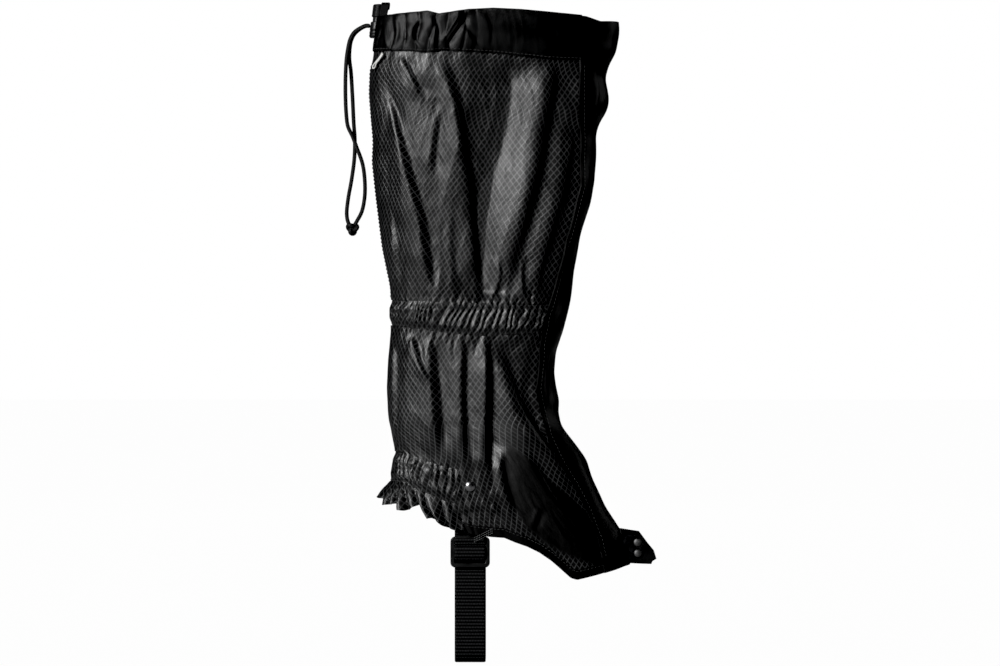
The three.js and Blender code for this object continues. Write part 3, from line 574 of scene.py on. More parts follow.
def curve_through(points, spacing):
    """Evenly spaced points on a smooth curve through the given ones."""
    p = np.asarray(points, float)
    p = np.concatenate([[2 * p[0] - p[1]], p, [2 * p[-1] - p[-2]]])
    dense = []
    for a, b, c, d in zip(p, p[1:], p[2:], p[3:]):
        k = [0.0]
        for q, r in ((a, b), (b, c), (c, d)):
            k.append(k[-1] + max(np.linalg.norm(r - q), 1e-6) ** 0.5)
        for t in np.linspace(k[1], k[2], 24, endpoint=False):
            ab = (a * (k[1] - t) + b * t) / k[1]
            bc = (b * (k[2] - t) + c * (t - k[1])) / (k[2] - k[1])
            cd = (c * (k[3] - t) + d * (t - k[2])) / (k[3] - k[2])
            abc = (ab * (k[2] - t) + bc * t) / k[2]
            bcd = (bc * (k[3] - t) + cd * (t - k[1])) / (k[3] - k[1])
            dense.append((abc * (k[2] - t) + bcd * (t - k[1])) / (k[2] - k[1]))
    dense = np.array(dense + [p[-2]])
    lengths = lengths_along(dense)
    return points_at(np.linspace(0, lengths[-1], max(int(lengths[-1] / spacing), 4) + 1), lengths, dense)


def points_at(at, lengths, path):
    return np.stack([np.interp(at, lengths, path[:, k]) for k in range(3)], axis=1)


def stitches(name, path, outward, pitch=3.2, length=2.3, radius=0.26):
    """Short threads laid end to end along a path of points, each dipping into the cloth at its ends."""
    lengths = lengths_along(path)
    outward = outward / np.linalg.norm(outward, axis=1)[:, None]
    starts = np.arange(0.4, lengths[-1] - length, pitch)
    part = np.linspace(0, 1, 6)
    at = (starts[:, None] + part[None, :] * length).ravel()
    centre, up = points_at(at, lengths, path), points_at(at, lengths, outward)
    along_path = points_at(at + 0.2, lengths, path) - centre
    along_path /= np.linalg.norm(along_path, axis=1)[:, None] + 1e-9
    beside = np.cross(along_path, up)
    arch = np.tile(np.sin(np.pi * part) * 1.5 - 0.7, len(starts)) * radius
    width = np.tile(np.clip(np.sin(np.pi * part) * 2.2, 0.35, 1), len(starts)) * radius
    turn = circle(6)
    rings = centre[:, None] + up[:, None] * (arch[:, None] + width[:, None] * np.sin(turn))[..., None]
    rings += beside[:, None] * (width[:, None] * np.cos(turn))[..., None]
    sides, rows = len(turn), len(part)
    body = grid_faces(rows, sides, close_v=True)
    shift = np.arange(len(starts))[:, None, None] * rows * sides
    quads = (body[None] + shift).reshape(-1, 4)
    caps = (end_caps(rows, sides)[None] + shift).reshape(-1, sides)
    return new_mesh(name, rings.reshape(-1, 3), [quads, caps], np.zeros((len(rings) * sides, 2)))


def seam_on_leg(name, angle, z, shape, side, lift, **thread):
    """A row of stitches on the cloth, through the given angles and heights."""
    offset = shape(angle, z, side) + lift
    path = leg(angle, z, offset)
    return stitches(name, path, leg(angle, z, offset + 1) - path, **thread)


def webbing_strip(name, path, width, thick, rib=2.7, relief=0.22, centre_x=0.0, columns=27):
    """Ribbed webbing along a path of [y, z], its width in X, with rounded edges."""
    route = curve_through([[0, y, z] for y, z in path], 0.45)
    normal = np.cross([1.0, 0, 0], directions(route))
    lengths = lengths_along(route)
    across = np.concatenate([np.linspace(-1, 1, columns), np.linspace(1, -1, columns)])
    side = np.repeat([1, -1], columns)
    edge = np.sqrt(np.clip(1 - np.clip((np.abs(across) - 0.93) / 0.07, 0, 1) ** 2, 0.04, 1))
    ribs = relief * (np.abs(np.sin(np.pi * lengths / rib)) - 0.5)
    depth = (thick / 2 + ribs[:, None] * 0.5) * edge[None, :] * side[None, :]
    rings = route[:, None] + normal[:, None] * depth[..., None]
    rings[..., 0] += across[None, :] * width / 2 + centre_x
    count = len(across)
    faces = grid_faces(len(route), count, close_v=True)
    uv = np.stack(np.broadcast_arrays(across[None, :] * width / 2, lengths[:, None]), axis=-1)
    return new_mesh(name, rings.reshape(-1, 3), [faces, end_caps(len(route), count)], uv.reshape(-1, 2) * MM)


def turned(name, profile, centre, side=OUTER, segments=40):
    """A turned piece about the Y axis from [radius, distance outward] points, first and last on the axis."""
    fine = curve_through([[r, h, 0] for r, h in profile], 0.16)[:, :2]
    inner = fine[1:-1]
    turn = circle(segments)
    x = np.maximum(inner[:, :1], 0.02) * np.cos(turn)
    z = np.maximum(inner[:, :1], 0.02) * np.sin(turn)
    y = np.broadcast_to(inner[:, 1:2] * side, x.shape)
    rings = np.stack([x, y, z], axis=-1)
    poles = np.array([[0, fine[0, 1] * side, 0], [0, fine[-1, 1] * side, 0]])
    vertices = np.concatenate([rings.reshape(-1, 3), poles]) + np.array(centre)
    faces = [grid_faces(len(inner), segments, close_v=True), pole_caps(len(inner), segments)]
    return new_mesh(name, vertices, faces, vertices[:, [0, 2]] * MM)


def oval_stack(name, centre, size, profile, segments=48):
    """A moulded oval button or barrel about the Z axis: rows of [height, inset] from bottom to top."""
    fine = curve_through([[h, i, 0] for h, i in profile], 0.18)[:, :2]
    turn = circle(segments)
    rings = []
    for height, inset in fine:
        half_x, half_y = max(size[0] / 2 - inset, 0.05), max(size[1] / 2 - inset, 0.05)
        straight = max(half_y - half_x, 0)
        x = half_x * np.cos(turn)
        y = half_x * np.sin(turn) * (1 if half_y > half_x else half_y / half_x)
        y = y + np.sign(np.round(np.sin(turn), 6)) * straight
        rings.append(np.stack([x, y, height + 0 * x], axis=-1))
    rings = np.array(rings) + np.array(centre)
    faces = [grid_faces(len(fine), segments, close_v=True), end_caps(len(fine), segments)]
    return new_mesh(name, rings.reshape(-1, 3), faces, rings.reshape(-1, 3)[:, [1, 2]] * MM)


def plate_from(name, outline, holes, thick, edge, centre_y):
    """A flat plate in the XZ plane with softened edges, from closed outlines of [x, z] points."""
    curve = bpy.data.curves.new(name + "_outline", "CURVE")
    curve.dimensions = "2D"
    curve.fill_mode = "BOTH"
    curve.extrude = (thick / 2 - edge) * MM
    curve.bevel_depth = edge * MM
    curve.bevel_resolution = 3
    curve.offset = -edge * MM
    for loop in [outline, *holes]:
        spline = curve.splines.new("POLY")
        spline.points.add(len(loop) - 1)
        for point, (x, z) in zip(spline.points, loop):
            point.co = (x * MM, z * MM, 0, 1)
        spline.use_cyclic_u = True
    shape = placed(name + "_outline", curve)
    mesh = bpy.data.meshes.new_from_object(shape.evaluated_get(bpy.context.evaluated_depsgraph_get()))
    bpy.data.objects.remove(shape)
    points = np.zeros(len(mesh.vertices) * 3)
    mesh.vertices.foreach_get("co", points)
    points = points.reshape(-1, 3)
    points = np.stack([points[:, 0], centre_y * MM - points[:, 2], points[:, 1]], axis=1)
    mesh.vertices.foreach_set("co", points.ravel())
    mesh.update()
    return placed(name, mesh)


def moved_points(thing, change):
    """Rewrites a mesh's vertices through a function of an array of millimetre points."""
    points = np.zeros(len(thing.data.vertices) * 3)
    thing.data.vertices.foreach_get("co", points)
    thing.data.vertices.foreach_set("co", (change(points.reshape(-1, 3) / MM) * MM).ravel())
    thing.data.update()


def rounded(width, height, radius, centre, segments=7):
    """The [x, z] points of a rectangle with rounded corners."""
    points = []
    for sx, sz, start in ((1, 1, 0), (-1, 1, 90), (-1, -1, 180), (1, -1, 270)):
        for step in range(segments + 1):
            turn = math.radians(start + 90 * step / segments)
            points.append((centre[0] + sx * (width / 2 - radius) + radius * math.cos(turn),
                           centre[1] + sz * (height / 2 - radius) + radius * math.sin(turn)))
    return points


# ---- materials ------------------------------------------------------------------------------

class Look:
    """A material's node tree, with short calls for the nodes that these finishes share."""

    def __init__(self, name, roughness=0.5, specular=0.5, metallic=0.0, sheen=0.0):
        self.material = bpy.data.materials.new(name)
        self.material.use_nodes = True
        self.tree = self.material.node_tree
        self.shader = self.tree.nodes["Principled BSDF"]
        self.shader.inputs["Roughness"].default_value = roughness
        self.shader.inputs["Specular IOR Level"].default_value = specular
        self.shader.inputs["Metallic"].default_value = metallic
        self.shader.inputs["Sheen Weight"].default_value = sheen
        self.shader.inputs["Sheen Roughness"].default_value = 0.4

    def node(self, kind, **settings):
        made = self.tree.nodes.new(kind)
        for key, value in settings.items():
            setattr(made, key, value)
        return made

    def feed(self, socket, value):
        if isinstance(value, bpy.types.NodeSocket):
            self.tree.links.new(value, socket)
        else:
            socket.default_value = value

    def math(self, operation, a, b=0.0):
        made = self.node("ShaderNodeMath", operation=operation)
        for socket, value in zip(made.inputs, (a, b)):
            self.feed(socket, value)
        return made.outputs[0]

    def times(self, a, b):
        return self.math("MULTIPLY", a, b)

    def plus(self, a, b):
        return self.math("ADD", a, b)

    def wave(self, distance, length):
        """A sine of the given wavelength in millimetres."""
        return self.math("SINE", self.times(distance, 2 * math.pi / length))

    def span(self, value, low, high, to_low=0.0, to_high=1.0):
        made = self.node("ShaderNodeMapRange", interpolation_type="SMOOTHSTEP")
        for socket, each in zip(made.inputs, (value, low, high, to_low, to_high)):
            self.feed(socket, each)
        return made.outputs[0]

    def spread(self, value, to_low=0.0, to_high=1.0):
        """Stretches the usual range of a noise over the given one."""
        return self.span(value, 0.3, 0.7, to_low, to_high)

    def cloth_axes(self):
        """Distance across and along the cloth in millimetres."""
        parts = self.node("ShaderNodeSeparateXYZ")
        self.feed(parts.inputs[0], self.node("ShaderNodeUVMap", uv_map="cloth").outputs[0])
        return self.times(parts.outputs[0], 1 / MM), self.times(parts.outputs[1], 1 / MM)

    def grain(self, cell, detail=3.0, roughness=0.55, vector=None):
        """Soft random values with cells of about that many millimetres."""
        made = self.node("ShaderNodeTexNoise")
        made.inputs["Scale"].default_value = 1 / (cell * MM)
        made.inputs["Detail"].default_value = detail
        made.inputs["Roughness"].default_value = roughness
        self.feed(made.inputs["Vector"], vector or self.node("ShaderNodeTexCoord").outputs["Object"])
        return made.outputs[0]

    def blend(self, factor, low, high):
        made = self.node("ShaderNodeMix", data_type="RGBA")
        self.feed(made.inputs["Factor"], factor)
        self.feed(made.inputs[6], (*low, 1))
        self.feed(made.inputs[7], (*high, 1))
        return made.outputs[2]

    def finish(self, color, height=None, depth=0.1, roughness=None):
        """Connects the colour, the roughness, and a relief whose depth is in millimetres."""
        self.feed(self.shader.inputs["Base Color"], color)
        if roughness is not None:
            self.feed(self.shader.inputs["Roughness"], roughness)
        if height is not None:
            bump = self.node("ShaderNodeBump")
            bump.inputs["Distance"].default_value = depth * MM
            bump.inputs["Strength"].default_value = 1.0
            self.feed(bump.inputs["Height"], height)
            self.feed(self.shader.inputs["Normal"], bump.outputs[0])
        return self.material


def grey(value, warm=0.0):
    return (value * (1 + warm), value, value * (1 - warm))


CELL_WIDTH, CELL_HEIGHT = 4.4, 6.2
# Where a grid line starts and stops fading, as shares of a cell from its middle.
LINE_CORE, LINE_EDGE = 0.04, 0.11


def ripstop(name):
    """Thin coated nylon with a raised, shinier diamond grid of thicker yarns, and fine creasing; the grid's
    lines also carry painted sheen in their colour.
    """
    look = Look(name)
    u, v = look.cloth_axes()
    across, up = look.math("DIVIDE", u, CELL_WIDTH), look.math("DIVIDE", v, CELL_HEIGHT)
    lines = []
    for operation in ("ADD", "SUBTRACT"):
        distance = look.math("PINGPONG", look.math(operation, across, up), 0.5)
        lines.append(look.span(distance, LINE_CORE, LINE_EDGE, 1.0, 0.0))
    clouds = look.grain(16.0, 4.0)
    grid = look.times(look.math("MAXIMUM", *lines), look.spread(clouds, 0.55, 1.0))
    plain = look.node("ShaderNodeAttribute", attribute_name="plain").outputs["Fac"]
    shown = look.times(grid, look.math("SUBTRACT", 1.0, plain))
    look.feed(look.shader.inputs["Specular IOR Level"], look.span(shown, 0.0, 1.0, 0.42, 0.92))
    stretched = look.node("ShaderNodeCombineXYZ")
    look.feed(stretched.inputs[0], look.times(u, MM))
    look.feed(stretched.inputs[1], look.times(v, 0.4 * MM))
    creased = look.grain(7.5, 5.0, vector=stretched.outputs[0])
    fine = look.plus(look.times(shown, 0.9), look.times(look.grain(0.35, 2.0), 0.35))
    rough = look.plus(look.span(clouds, 0.25, 0.75, 0.35, 0.42), look.times(shown, -0.03))
    # Painted sheen: the grid lines' lighter colour stands in for the light that the raised yarns reflect; the
    # cloth itself keeps the dark grey.
    return look.finish(look.blend(shown, grey(0.0022), grey(0.052, -0.03)),
                       look.plus(fine, look.times(creased, 7.0)), depth=0.09, roughness=rough)


def plain_cloth(name, tone=0.0035, rough=(0.29, 0.4), specular=0.2):
    look = Look(name, specular=specular)
    u, v = look.cloth_axes()
    weave = look.plus(look.grain(0.5, 2.0), look.times(look.wave(look.plus(u, v), 0.9), 0.25))
    clouds = look.grain(13.0, 4.0)
    color = look.blend(look.spread(clouds), grey(tone), grey(tone * 1.8, -0.02))
    return look.finish(color, weave, depth=0.09, roughness=look.spread(clouds, *rough))


def ribbed_webbing(name, tone=0.07, rib=2.7, yarn=1.25):
    """Webbing whose cross ribs show as rows of small yarn knuckles on a dark ground, the knuckles coloured
    pale as painted highlights.
    """
    look = Look(name, specular=0.14)
    u, v = look.cloth_axes()
    row = look.math("FLOOR", look.math("DIVIDE", v, rib))
    shift = look.times(look.math("PINGPONG", row, 1.0), math.pi / 2)
    dots = look.math("ABSOLUTE", look.math("SINE", look.plus(look.times(u, math.pi / yarn), shift)))
    crest = look.math("ABSOLUTE", look.wave(v, 2 * rib))
    knuckle = look.times(look.math("POWER", crest, 5.0), look.math("POWER", dots, 2.0))
    fibre = look.grain(0.6, 4.0)
    # Painted highlights: the knuckles' crests are coloured pale where the light would catch them, and tone
    # sets how bright these painted highlights are.
    color = look.blend(look.times(knuckle, look.spread(fibre, 0.6, 1.0)), grey(0.0018), grey(tone, -0.03))
    return look.finish(color, look.plus(knuckle, look.times(fibre, 0.3)), depth=0.3,
                       roughness=look.spread(fibre, 0.6, 0.8))


def braided(name, tone=0.006):
    look = Look(name, specular=0.3)
    u, v = look.cloth_axes()
    strands = look.math("SINE", look.times(look.plus(v, look.times(u, 1.3)), 3.4))
    fibre = look.grain(0.35)
    color = look.blend(look.span(strands, -0.6, 0.9), grey(tone * 0.5), grey(tone * 2.2, -0.02))
    return look.finish(color, look.plus(strands, fibre), roughness=look.spread(fibre, 0.45, 0.65))


def fuzzy_tape(name, tone=0.01):
    look = Look(name, specular=0.2, sheen=0.35)
    loops = look.grain(0.9, 5.0, 0.7)
    rows = look.wave(look.cloth_axes()[1], 1.5)
    color = look.blend(look.span(loops, 0.35, 0.65), grey(tone * 0.5), grey(tone * 2.4))
    return look.finish(color, look.plus(loops, look.times(rows, 0.15)), depth=0.5,
                       roughness=look.spread(loops, 0.75, 0.95))


def ribbed_elastic(name, tone=0.02):
    look = Look(name, specular=0.3, sheen=0.15)
    ribs = look.math("ABSOLUTE", look.wave(look.cloth_axes()[1], 3.2))
    fibre = look.grain(0.5)
    shade = look.times(ribs, look.spread(fibre, 0.6, 1.0))
    color = look.blend(shade, grey(tone * 0.5), grey(tone * 1.7))
    return look.finish(color, look.plus(ribs, look.times(fibre, 0.4)), depth=0.3,
                       roughness=look.spread(fibre, 0.6, 0.8))


def clouded(name, low, high, rough, patch, pits, depth, **finish):
    """A hard surface with soft patches of two tones and a fine relief, each grain as grain() takes it."""
    look = Look(name, **finish)
    clouds = look.grain(*patch)
    color = look.blend(look.spread(clouds), low, high)
    return look.finish(color, look.grain(*pits), depth=depth, roughness=look.spread(clouds, *rough))


def moulded(name, low, high, specular):
    return clouded(name, low, high, (0.3, 0.45), (7.0, 4.0), (0.7,), 0.05, specular=specular)


def satin_metal(name, low, high, rough=(0.22, 0.38)):
    return clouded(name, low, high, rough, (3.5, 5.0), (0.5, 4.0, 0.7), 0.03, metallic=1.0)


def thread(name, low, high):
    return clouded(name, grey(low), grey(high, -0.02), (0.4, 0.6), (0.4,), (0.4,), 0.08, specular=0.45,
                   sheen=0.2)


RIPSTOP = ripstop("ripstop_nylon")
PLAIN = plain_cloth("plain_nylon")
BINDING = plain_cloth("binding_tape", tone=0.003, rough=(0.45, 0.6), specular=0.16)
TAPE = fuzzy_tape("closure_tape")
ELASTIC = ribbed_elastic("knitted_elastic")
WEBBING = ribbed_webbing("ribbed_webbing")
CORD = braided("braided_cord")
THREAD = thread("sewing_thread", 0.012, 0.035)
PALE_THREAD = thread("bar_tack_thread", 0.10, 0.22)
PLASTIC = moulded("black_acetal", grey(0.006), grey(0.011, -0.02), specular=0.32)
WHITE = moulded("white_cord_plastic", (0.72, 0.72, 0.70), (0.86, 0.86, 0.84), specular=0.4)
RIVET = satin_metal("rivet_nickel", (0.30, 0.30, 0.31), (0.46, 0.46, 0.47))
DARK_METAL = satin_metal("hook_gunmetal", (0.03, 0.03, 0.032), (0.05, 0.05, 0.052), rough=(0.26, 0.38))
HOOK_RIVET = satin_metal("hook_rivet_grey", (0.10, 0.10, 0.10), (0.2, 0.2, 0.2), rough=(0.45, 0.6))
SPRING = satin_metal("spring_steel", (0.45, 0.45, 0.46), (0.6, 0.6, 0.61))


def settle(thing, look, body, nodes=()):
    """Gives a piece its finish, the body it moves with and the CAD nodes that it stands for."""
    thing.data.materials.clear()
    thing.data.materials.append(look)
    if body:
        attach(thing, body)
    if nodes:
        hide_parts(*nodes)


# ---- camera, floor and lights ---------------------------------------------------------------

CAMERA_AT = (18.5, -3038.0, -14.5)
FRAME_WIDTH = 806.0
CAMERA_DISTANCE = 3000.0
SENSOR = 36.0
FLOOR_DROP, FLOOR_REACH = 2.0, 12000.0
# The brightness that the film shows as black.
FILM_BLACK = 0.006
# The floor and the world as the camera sees them, and the world's light on the gaiter.
FLOOR_WHITE, WORLD_WHITE, WORLD_LIGHT = 0.985, 1.0, 0.012
# Name, place, target, width and height, and watts of each light.
LIGHTS = [
    ("key", (-1650, -1950, 950), (0, 0, 10), (700, 1000), 66),
    ("back", (150, 2800, 1000), (0, 0, 0), (900, 900), 25),
    ("side", (2900, 900, 900), (0, 0, 0), (1400, 1400), 6),
]


def aim(thing, at, target):
    direction = np.array(target, float) - np.array(at, float)
    thing.location = tuple(c * MM for c in at)
    yaw = math.atan2(-direction[0], direction[1])
    pitch = math.atan2(direction[2], math.hypot(direction[0], direction[1]))
    thing.rotation_euler = (math.pi / 2 + pitch, 0, yaw)


def soft_light(name, at, target, size, watts):
    lamp = bpy.data.lights.new(name, "AREA")
    lamp.shape = "RECTANGLE"
    lamp.size, lamp.size_y = size[0] * MM, size[1] * MM
    lamp.energy = watts
    aim(placed(name, lamp), at, target)


def make_camera():
    lens = bpy.data.cameras.new("camera")
    lens.sensor_width = SENSOR
    lens.lens = SENSOR * CAMERA_DISTANCE / FRAME_WIDTH
    lens.clip_start, lens.clip_end = 0.1, 40
    camera = placed("camera", lens)
    aim(camera, CAMERA_AT, (CAMERA_AT[0], 0, CAMERA_AT[2]))
    bpy.context.scene.camera = camera
    film = bpy.context.scene.view_settings
    film.view_transform = "Standard"
    film.use_curve_mapping = True
    film.curve_mapping.black_level = (FILM_BLACK,) * 3
    film.curve_mapping.update()


def make_floor():
    """A pale sheet of paper that the camera sees as white and that reflects little light."""
    height, reach = cad_box[0].z - FLOOR_DROP * MM, FLOOR_REACH * MM
    corners = [(x * reach, y * reach, height) for x, y in ((-1, -1), (1, -1), (1, 1), (-1, 1))]
    mesh = bpy.data.meshes.new("studio_floor")
    mesh.from_pydata(corners, [], [(0, 1, 2, 3)])
    floor = placed("studio_floor", mesh)
    paper = Look("studio_paper", roughness=0.9, specular=0.1)
    paper.finish(paper.blend(paper.grain(60.0), grey(0.3), grey(0.33)))
    white, pick = paper.node("ShaderNodeEmission"), paper.node("ShaderNodeMixShader")
    seen = paper.node("ShaderNodeLightPath").outputs["Is Camera Ray"]
    paper.feed(pick.inputs[0], paper.times(seen, FLOOR_WHITE))
    paper.feed(pick.inputs[1], paper.shader.outputs[0])
    paper.feed(pick.inputs[2], white.outputs[0])
    paper.feed(paper.tree.nodes["Material Output"].inputs[0], pick.outputs[0])
    mesh.materials.append(paper.material)


def make_world():
    world = bpy.data.worlds.new("studio")
    world.use_nodes = True
    tree = world.node_tree
    seen, dim = tree.nodes["Background"], tree.nodes.new("ShaderNodeBackground")
    for light, strength in ((seen, WORLD_WHITE), (dim, WORLD_LIGHT)):
        light.inputs[0].default_value = (1, 1, 1, 1)
        light.inputs[1].default_value = strength
    pick, ray = tree.nodes.new("ShaderNodeMixShader"), tree.nodes.new("ShaderNodeLightPath")
    tree.links.new(ray.outputs["Is Camera Ray"], pick.inputs[0])
    tree.links.new(dim.outputs[0], pick.inputs[1])
    tree.links.new(seen.outputs[0], pick.inputs[2])
    tree.links.new(pick.outputs[0], tree.nodes["World Output"].inputs[0])
    bpy.context.scene.world = world


make_camera()
make_floor()
make_world()
for light in LIGHTS:
    soft_light(*light)

# ---- drawcord -------------------------------------------------------------------------------

CORD_R = 1.6
OUTER_STRAND = [[-87.3, -2, 236], [-90.5, -2, 236.3], [-95, -2.2, 234.5], [-100.5, -2.8, 230.5],
                [-103.6, -3.4, 225], [-105.2, -3.8, 218.5], [-106.6, -4, 209], [-107.3, -4, 198],
                [-107.5, -3.8, 181], [-106.9, -3.4, 165], [-105.5, -3.2, 154], [-101.8, -3.2, 146],
                [-98.4, -3.2, 137], [-93.6, -3.2, 123.5], [-91.8, -3.2, 110.5], [-91.8, -3, 97],
                [-94.2, -2.6, 84.5], [-98.2, -1.8, 76.8]]
INNER_STRAND = [[-87.3, 2, 236], [-90.5, 2, 236.2], [-95, 1.8, 234.2], [-100, 1.4, 230], [-102.9, 1, 224.5],
                [-104.2, 0.8, 217], [-104.4, 0.6, 209], [-103.2, 0.6, 199], [-101.9, 0.6, 178],
                [-100.9, 0.6, 157], [-100, 0.6, 143.5], [-100.4, 0.6, 128], [-102.6, 0.6, 111],
                [-105.6, 0.6, 94], [-106.6, 0.4, 82.5], [-105.4, -0.6, 75.8]]
KNOT_CENTRE = (-101.8, -1.2, 70.6)
KNOT_SCALE, KNOT_DEPTH, KNOT_CORD_R, KNOT_STEPS = 1.35, 1.9, 1.9, 30
INTO_KNOT = {"outer": [-100.6, -1.8, 72.6], "inner": [-103.4, -0.8, 72.4]}
HEM_CORD_Z, HEM_CORD_DEPTH = 236.0, -4.5


def braid(turn, length):
    return 0.05 * np.sin(2 * turn + length * 2.6) * np.sin(2 * turn - length * 2.6)


def knot_route():
    """A trefoil, closed at its highest point, where the strands go in."""
    turn = circle(KNOT_STEPS)
    trefoil = np.stack([KNOT_SCALE * (np.sin(turn) + 2 * np.sin(2 * turn)), -KNOT_DEPTH * np.sin(3 * turn),
                        KNOT_SCALE * (np.cos(turn) - 2 * np.cos(2 * turn))], axis=1) + np.array(KNOT_CENTRE)
    trefoil = np.roll(trefoil, -int(trefoil[:, 2].argmax()), axis=0)
    return [*trefoil[:-1], trefoil[0]]


def make_cords():
    knot, _, _ = tube("drawcord_knot_tied", knot_route(), KNOT_CORD_R, relief=braid)
    settle(knot, CORD, "root", ["drawcord_knot"])
    for word, points in (("outer", OUTER_STRAND), ("inner", INNER_STRAND)):
        strand, route, length = tube(f"drawcord_{word}", points + [INTO_KNOT[word]], CORD_R, relief=braid,
                                     spacing=0.45)
        settle(strand, CORD, "root", [f"drawcord_strand_{word}"])
    for word, side in SIDES:
        start = front_edge(np.array(HEM_CORD_Z), side) + side * 9
        angles = np.linspace(start, side * 163, 15)
        points = leg(angles, np.full(len(angles), HEM_CORD_Z), HEM_CORD_DEPTH).tolist()
        points += [[x, side * y, HEM_CORD_Z] for x, y in ((-71.5, 4.4), (-76, 2.1), (-80, 2), (-87.3, 2))]
        inside, _, _ = tube(f"hem_cord_{word}_run", points, CORD_R, relief=braid, spacing=0.8, sides=12)
        settle(inside, CORD, "root", [f"hem_cord_{word}"])


make_cords()

# ---- cloth of the leg tube ------------------------------------------------------------------

def at_angle(angle):
    """An upright edge at one angle all the way."""
    return lambda z: 0 * z + angle


def front_of(side):
    """The edge where a side's cloth meets the front closure."""
    return lambda z: front_edge(z, side)


def ankle_of(side):
    """The edge between the heel's cloth and the instep's."""
    return lambda z: angle_at(ANKLE_END_X + 0 * z, z, side)


def shifted(edge, by):
    """An edge moved round the leg by a distance, positive towards larger angles."""
    def moved(z):
        angle = edge(z)
        return angle + by / np.maximum((arc_at(angle + 1, z) - arc_at(angle - 1, z)) / 2, 0.05)
    return moved


def rotated(edge, degrees):
    """An edge moved round the leg by an angle."""
    return lambda z: edge(z) + degrees


def raised(rows, by):
    return [[x, z + by] for x, z in rows]


def inside_patch(angle, z):
    """1 on the plain reinforcement over the instep, 0 on the ripstop round it."""
    x = leg(angle, z)[..., 0]
    left = along([[-215, 70], [-190, 50], [-170, 31], [-148, 27], [-134, 22], [-119, 21], [-106, 27]], z)
    top = along([[15, -125], [27, -104], [45, -118], [62, -134], [80, -150], [95, -165]], x)
    low = along([[20, -140], [40, -172], [56, -186], [75, -196], [100, -205]], x)
    return smooth(x, left - 0.8, left + 0.8) * smooth(top - z, -1, 3) * smooth(z - low, -2, 4)


# The instep's cloth laps over the heel's by this distance.
OVERLAP = 1.5


def make_tube():
    for word, side in SIDES:
        front, ankle, calf = front_of(side), ankle_of(side), at_angle(side * CALF_END)
        lap, top, low = shifted(ankle, side * OVERLAP), raised(HEM_SEAM_LINE, 2), raised(HEM_LINE, 4)
        fine, patch = {"step": 0.75}, {"marks": {"plain": inside_patch}, "lift": 0.1}
        plan = [
            ("upper_shell", "upper_panel", front, calf, BAND_TOP_LINE, top, leg_shape, {}),
            ("calf_band", "calf_band_casing", front, calf, BAND_LOW_LINE, BAND_TOP_LINE, calf_band_shape,
             fine),
            ("lower_shell", "lower_panel", ankle, calf, ANKLE_TOP_LINE, BAND_LOW_LINE, leg_shape, {}),
            ("heel_band", "heel_band_casing", ankle, calf, ANKLE_LOW_LINE, ANKLE_TOP_LINE, heel_band_shape,
             fine),
            ("heel_frill_edge", "heel_frill", ankle, calf, FRILL_LINE, ANKLE_LOW_LINE, frill_shape, fine),
            ("instep_shell", "instep_panel", front, lap, low, BAND_LOW_LINE, leg_shape, patch),
        ]
        for name, node, start, stop, low, high, shape, extra in plan:
            piece, cut = cloth(f"{name}_{word}", start, stop, low, high, shape, side, **extra)
            settle(piece, RIPSTOP, "root", [f"{node}_{word}"])


make_tube()

# ---- hem, flap, bands and closure -----------------------------------------------------------

HEM_FRONT_BULGE, HEM_BACK_BULGE, HEM_GAP = 0.9, 4.6, 1.6


def casing(name, start, stop, low, high, shape, side, step=0.9, thick=0.8):
    """A hem folded to the inside: cloth that rises outside, turns over the top and runs down inside."""
    middle = np.array([(along(low, 0) + along(high, 0)) / 2])
    width = abs(arc_at(stop(middle), middle) - arc_at(start(middle), middle))[0]
    nu = int(width / step) + 2
    share = np.linspace(0, 1, nu)
    bottom, top = edge_height(low, start, stop, share), edge_height(high, start, stop, share)
    rows = int((top - bottom).max() / step)
    up = np.linspace(0, 1, rows)
    bulge = np.clip(np.sin(np.pi * np.clip(up * 1.02, 0, 1)), 0, 1) ** 0.45
    outside = np.stack([HEM_FRONT_BULGE * bulge, up, np.ones(rows)], axis=1)
    inside = np.stack([-HEM_GAP - HEM_BACK_BULGE * bulge, up, np.full(rows, 0.35)], axis=1)[::-1]
    run = np.concatenate([outside, inside[1:]])
    lower = thick / (top - bottom).mean()
    deepest = thick - HEM_GAP - HEM_BACK_BULGE
    inner_run = np.stack([np.clip(run[:, 0] - thick, deepest, None), np.minimum(run[:, 1], 1 - lower),
                          run[:, 2]], axis=1)
    inner_run[rows:, 0] = np.minimum(run[rows:, 0] + thick, -0.9)
    faces = []
    for offsets, heights, follow in (run.T, inner_run.T):
        z = bottom[:, None] + (top - bottom)[:, None] * heights[None, :]
        angle = span_angles(start, stop, share[:, None] + 0 * z, z)
        faces.append(leg(angle, z, offsets[None, :] + shape(angle, z, side) * follow[None, :]))
    flat = np.stack([arc_at(angle, z), z + 0 * angle], axis=-1).reshape(-1, 2) * MM
    thing = new_mesh(name, np.concatenate([face.reshape(-1, 3) for face in faces]), sheet_faces(nu, len(run)),
                     np.tile(flat, (2, 1)))
    return thing, cut_size(faces[0])


def make_hem():
    for word, side in SIDES:
        piece, cut = casing(f"drawcord_hem_{word}", front_of(side), at_angle(side * HEM_END), HEM_SEAM_LINE,
                            HEM_TOP_LINE, hem_shape, side)
        settle(piece, PLAIN, "root", [f"top_hem_{word}"])


